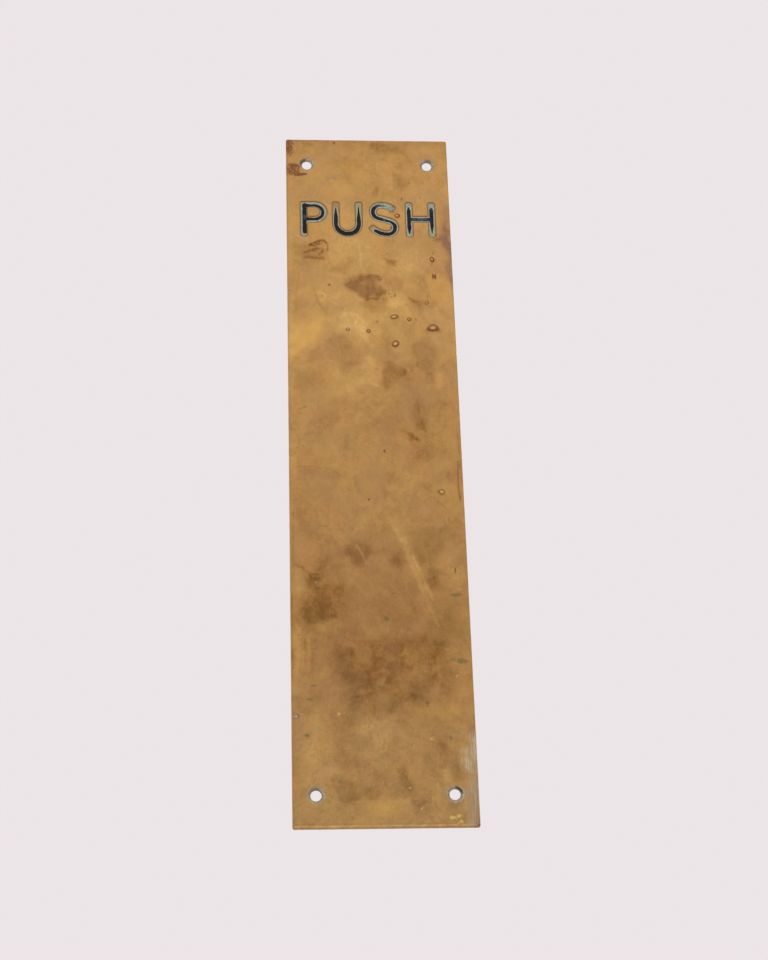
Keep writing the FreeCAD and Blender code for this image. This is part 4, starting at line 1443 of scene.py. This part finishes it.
    def relief(self, specks):
        height = self.add(self.times(self.hair_up, 0.5), self.times(self.hair_slant, 0.35))
        height = self.add(height, self.times(self.hair_cross, 0.25))
        height = self.math("SUBTRACT", height, self.times(specks, 0.6))
        pitted = self.add(self.times(self.fine, 0.6), self.times(self.grain, 0.25))
        return self.bump(pitted, 0.00004, 0.55, self.bump(height, 0.00002, 0.6))

    def finished(self):
        specks, scratches = self.specks(), self.scratches()
        # Tarnish with painted shade along the letters' groove walls and rims.
        rim = self.times(self.attribute("rim"), self.scaled(self.fine, 1.2, 0.20))
        back = self.math("SUBTRACT", 1.0, self.front)
        colour, dull = self.stained(self.clouded(self.tone()))
        colour = self.over(colour, specks, 0.60, seen(104, 68, 38))
        # Painted glints: small bright highlights.
        colour = self.over(colour, self.glints(), 0.45, seen(222, 188, 128))
        colour = self.over(colour, scratches, 0.14, seen(212, 172, 116))
        colour = self.wear_with_painted_light(colour, rim)
        dull = self.most(dull, rim, self.times(back, 0.6))
        rough = self.add(self.scaled(self.patch, 0.22, 0.34), self.scaled(self.fine, 0.12, -0.06))
        rough = self.add(rough, self.times(dull, 0.22))
        rough = self.math("SUBTRACT", rough, self.times(scratches, 0.06))
        return self.look(
            base_color=self.mix(back, colour, self.back_colour()),
            metallic=self.most(self.scaled(dull, -0.45, 1.0), 0.4),
            roughness=self.math("MINIMUM", rough, 0.85),
            normal=self.relief(specks),
        )


def enamel_material():
    sh = Shader("black_enamel")
    cloudy = sh.noise(0.9, 4.0)
    fine = sh.noise(4.0, 3.0)
    colour = sh.ramp(cloudy, [(0.35, srgb(10, 8, 10)), (0.62, srgb(20, 17, 20)), (0.82, srgb(52, 47, 50))])
    dust = sh.step(fine, 0.62, 0.80)
    colour = sh.over(colour, dust, 0.30, srgb(120, 112, 104))
    # Greyed black: partly dust, and partly a painted bluish reflection, as on the S's top and the H's
    # crossbar.
    greyed = sh.times(sh.attribute("dust_and_reflection"), sh.step(cloudy, 0.30, 0.62, 0.25, 1.0))
    return sh.look(
        base_color=sh.mix(greyed, colour, srgb(112, 120, 124)),
        roughness=sh.add(sh.scaled(cloudy, 0.25, 0.22), sh.times(dust, 0.2)),
        specular_ior_level=0.2,
        normal=sh.bump(sh.add(cloudy, sh.times(fine, 0.3)), 0.00006, 0.8),
    )


def crust_material():
    sh = Shader("pale_crust")
    broad = sh.noise(0.22, 3.0)
    patch = sh.noise(0.9, 4.0)
    fine = sh.noise(3.6, 4.0)
    colour = sh.ramp(patch, [
        (0.30, srgb(118, 124, 104)), (0.44, srgb(148, 162, 142)),
        (0.58, srgb(170, 186, 166)), (0.76, srgb(206, 210, 190)),
    ])
    colour = sh.over(colour, sh.step(broad, 0.40, 0.62), 0.5, srgb(148, 178, 160))
    colour = sh.over(colour, sh.step(fine, 0.56, 0.74), 0.30, srgb(124, 110, 76))
    colour = sh.over(colour, sh.attribute("yellowed"), sh.scaled(patch, 1.2, 0.2), srgb(172, 162, 108))
    colour = sh.over(colour, sh.attribute("outer"), sh.scaled(patch, 1.1, 0.10), srgb(146, 130, 84))
    colour = sh.mix(sh.attribute("brown"), colour, srgb(176, 140, 86))
    colour = sh.over(colour, sh.attribute("inner"), sh.scaled(patch, 1.1, 0.0), srgb(200, 202, 190))
    return sh.look(
        base_color=colour,
        roughness=sh.scaled(fine, 0.2, 0.72),
        specular_ior_level=0.25,
        normal=sh.bump(sh.add(patch, sh.times(fine, 0.5)), 0.00012, 0.9),
    )


# Spots, as in SPOTS. Where the crust is thin and brown, with the brass showing through:
BROWN_CRUST = [
    (-14, 120.4, 2.4, 2.6, 0, 0.85), (-14.6, 114, 1.2, 5, 0, 0.25), (0.8, 107.6, 1.6, 1.4, 0, 0.55),
    (-24, 118.2, 3.5, 1.0, 0, 0.35), (-24, 113.0, 3.0, 0.7, 0, 0.75), (-26.3, 113.4, 0.9, 0.8, 0, 0.6),
    (3.1, 115.6, 0.9, 1.4, 0, 0.45), (-28.9, 109, 0.6, 5, 0, 0.35),
]
# Where the crust is yellow-green:
YELLOW_CRUST = [
    (-13.9, 112, 2.2, 9, 0, 0.8), (-4.1, 114, 2.2, 8, 0, 0.85), (-9, 105, 5, 3, 0, 0.5),
    (27, 105, 2.2, 3, 0, 0.6), (-28, 104, 2, 2, 0, 0.4), (17.4, 104.6, 2, 2, 0, 0.35),
    (1.6, 108, 2.0, 2.0, 0, 0.5),
]
# Where the black is greyed: partly dust, partly a painted reflection, as along the S's top and the H's
# crossbar:
BLACK_DUST_AND_REFLECTION = [
    (6.4, 118.8, 2.6, 1.2, -8, 0.8), (22.2, 112.3, 3.4, 1.0, 0, 0.5), (6.6, 111.9, 0.6, 0.5, 0, 0.6),
    (-27.2, 113.2, 0.9, 1.2, 0, 0.35), (27.1, 118.5, 1.0, 1.4, 0, 0.3),
]


def paint_crust(obj, letter):
    """Writes the crust's marks on its points."""
    x, _, z = points_of(obj.data)
    past = beyond_black(letter, x, z)
    yellowed = np.clip(painted(x, z, YELLOW_CRUST, 0.6), 0.0, 0.9)
    write_fields(obj.data, {
        "brown": np.clip(painted(x, z, BROWN_CRUST, 0.6), 0.0, 0.9),
        "yellowed": yellowed,
        "outer": smooth(core_distance(LETTERS[letter], x, z), 0.40, 0.92),
        "inner": smooth(past, -0.1, 0.2) * (1 - smooth(past, 0.25, 0.75)) * (1 - 0.6 * yellowed),
    })


def paint_enamel(obj):
    """Writes where the black is greyed, by dust and by painted reflection, on its points."""
    x, _, z = points_of(obj.data)
    write_fields(obj.data, {"dust_and_reflection": np.clip(painted(x, z, BLACK_DUST_AND_REFLECTION, 0.6), 0.0, 1.0)})


# ======================================================================
# The pieces
# ======================================================================
plate = build_mesh("brass_plate", plate_geometry())
weld(plate)
paint_brass(plate)
plate.data.materials.append(Brass().finished())
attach(plate, "root")
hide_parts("plate")

enamel_look = enamel_material()
crust_look = crust_material()
for letter in LETTERS:
    name = "enamel_fill_" + letter
    fill = filling(name, letter, ENAMEL_REACH, ENAMEL_GRID, enamel_depth, ENAMEL_THICKNESS)
    fill.data.materials.append(enamel_look)
    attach(fill, "root")
    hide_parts("enamel_" + letter)
    paint_enamel(fill)
    crust = filling("crust_" + letter, letter, CRUST_REACH, CRUST_GRID, crust_depth, CRUST_THICKNESS)
    paint_crust(crust, letter)
    crust.data.materials.append(crust_look)
    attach(crust, "root")

# ======================================================================
# Camera, light and stage
# ======================================================================
# The camera stands where the photograph's did: sensor and lens in mm, its place in metres, and
# its heading, rise and roll in degrees.
SENSOR = 36.0
LENS = 72.99
CAMERA_PLACE = (-0.05172, -0.70656, -0.33772)
CAMERA_AZIMUTH = 4.442
CAMERA_RISE = 24.823
CAMERA_ROLL = -1.836


def aim(place, azimuth, rise, roll):
    """A camera's place in the world from its heading (0 along +Y), its rise and its roll."""
    a, b, c = (math.radians(v) for v in (azimuth, rise, roll))
    forward = Vector((math.sin(a) * math.cos(b), math.cos(a) * math.cos(b), math.sin(b)))
    right = forward.cross(Vector((0.0, 0.0, 1.0))).normalized()
    up = right.cross(forward)
    side = right * math.cos(c) + up * math.sin(c)
    top = up * math.cos(c) - right * math.sin(c)
    turn = Matrix((side, top, -forward)).transposed().to_4x4()
    return Matrix.Translation(place) @ turn


camera = bpy.data.cameras.new("camera")
camera.lens = LENS
camera.sensor_width = SENSOR
camera_obj = add_object("camera", camera)
camera_obj.matrix_world = aim(CAMERA_PLACE, CAMERA_AZIMUTH, CAMERA_RISE, CAMERA_ROLL)
bpy.context.scene.camera = camera_obj


def soft_light(name, place, target, width, power, tint):
    """A square soft light aimed at a point."""
    light = bpy.data.lights.new(name, "AREA")
    light.shape = "SQUARE"
    light.size = width
    light.energy = power
    light.color = tint
    lamp = add_object(name, light)
    lamp.location = place
    lamp.rotation_mode = "QUATERNION"
    lamp.rotation_quaternion = (Vector(target) - Vector(place)).to_track_quat("-Z", "Y")


soft_light("key", (0.35, -1.5, 1.45), (0.0, 0.0, 0.0), 0.9, 2.0, (1.0, 0.98, 0.96))
soft_light("side", (-1.6, -0.7, 0.5), (0.0, 0.0, 0.0), 0.8, 1.0, (0.96, 0.98, 1.0))
soft_light("behind", (0.9, 1.6, 1.3), (0.0, 0.0, 0.0), 0.9, 8.0, (1.0, 0.99, 0.98))

# The floor lies well below the plate and fades into the backdrop. In metres.
FLOOR_Z = -0.75
FLOOR_REACH = 4.0
FLOOR_SIDES = 96


def floor_material():
    """A pale matt floor that turns clear towards its edge."""
    sh = Shader("pale_floor")
    sh.look(base_color=sh.mix(sh.noise(0.02, 3.0), srgb(226, 219, 220), srgb(232, 226, 227)), roughness=0.9)
    level = sh.stretched(sh.place, (1.0, 1.0, 0.0))
    away = sh.node("ShaderNodeVectorMath", {0: level}, operation="LENGTH").outputs["Value"]
    clear = sh.node("ShaderNodeBsdfTransparent").outputs[0]
    blend = sh.node("ShaderNodeMixShader", {0: sh.step(away, 0.9, 3.6), 1: sh.bsdf.outputs[0], 2: clear})
    sh.put(sh.tree.nodes["Material Output"].inputs["Surface"], blend.outputs[0])
    return sh.material


def pale_floor():
    mesh = bpy.data.meshes.new("floor")
    turns = [2 * math.pi * i / FLOOR_SIDES for i in range(FLOOR_SIDES)]
    points = [(FLOOR_REACH * math.cos(t), FLOOR_REACH * math.sin(t), FLOOR_Z) for t in turns]
    mesh.from_pydata(points, [], [tuple(range(FLOOR_SIDES))])
    mesh.materials.append(floor_material())
    add_object("floor", mesh)


pale_floor()

world = bpy.data.worlds.new("studio")
bpy.context.scene.world = world
world.use_nodes = True
world.node_tree.nodes["Background"].inputs[0].default_value = (*STUDIO_LIGHT, 1.0)
bpy.context.scene.view_settings.view_transform = "Standard"
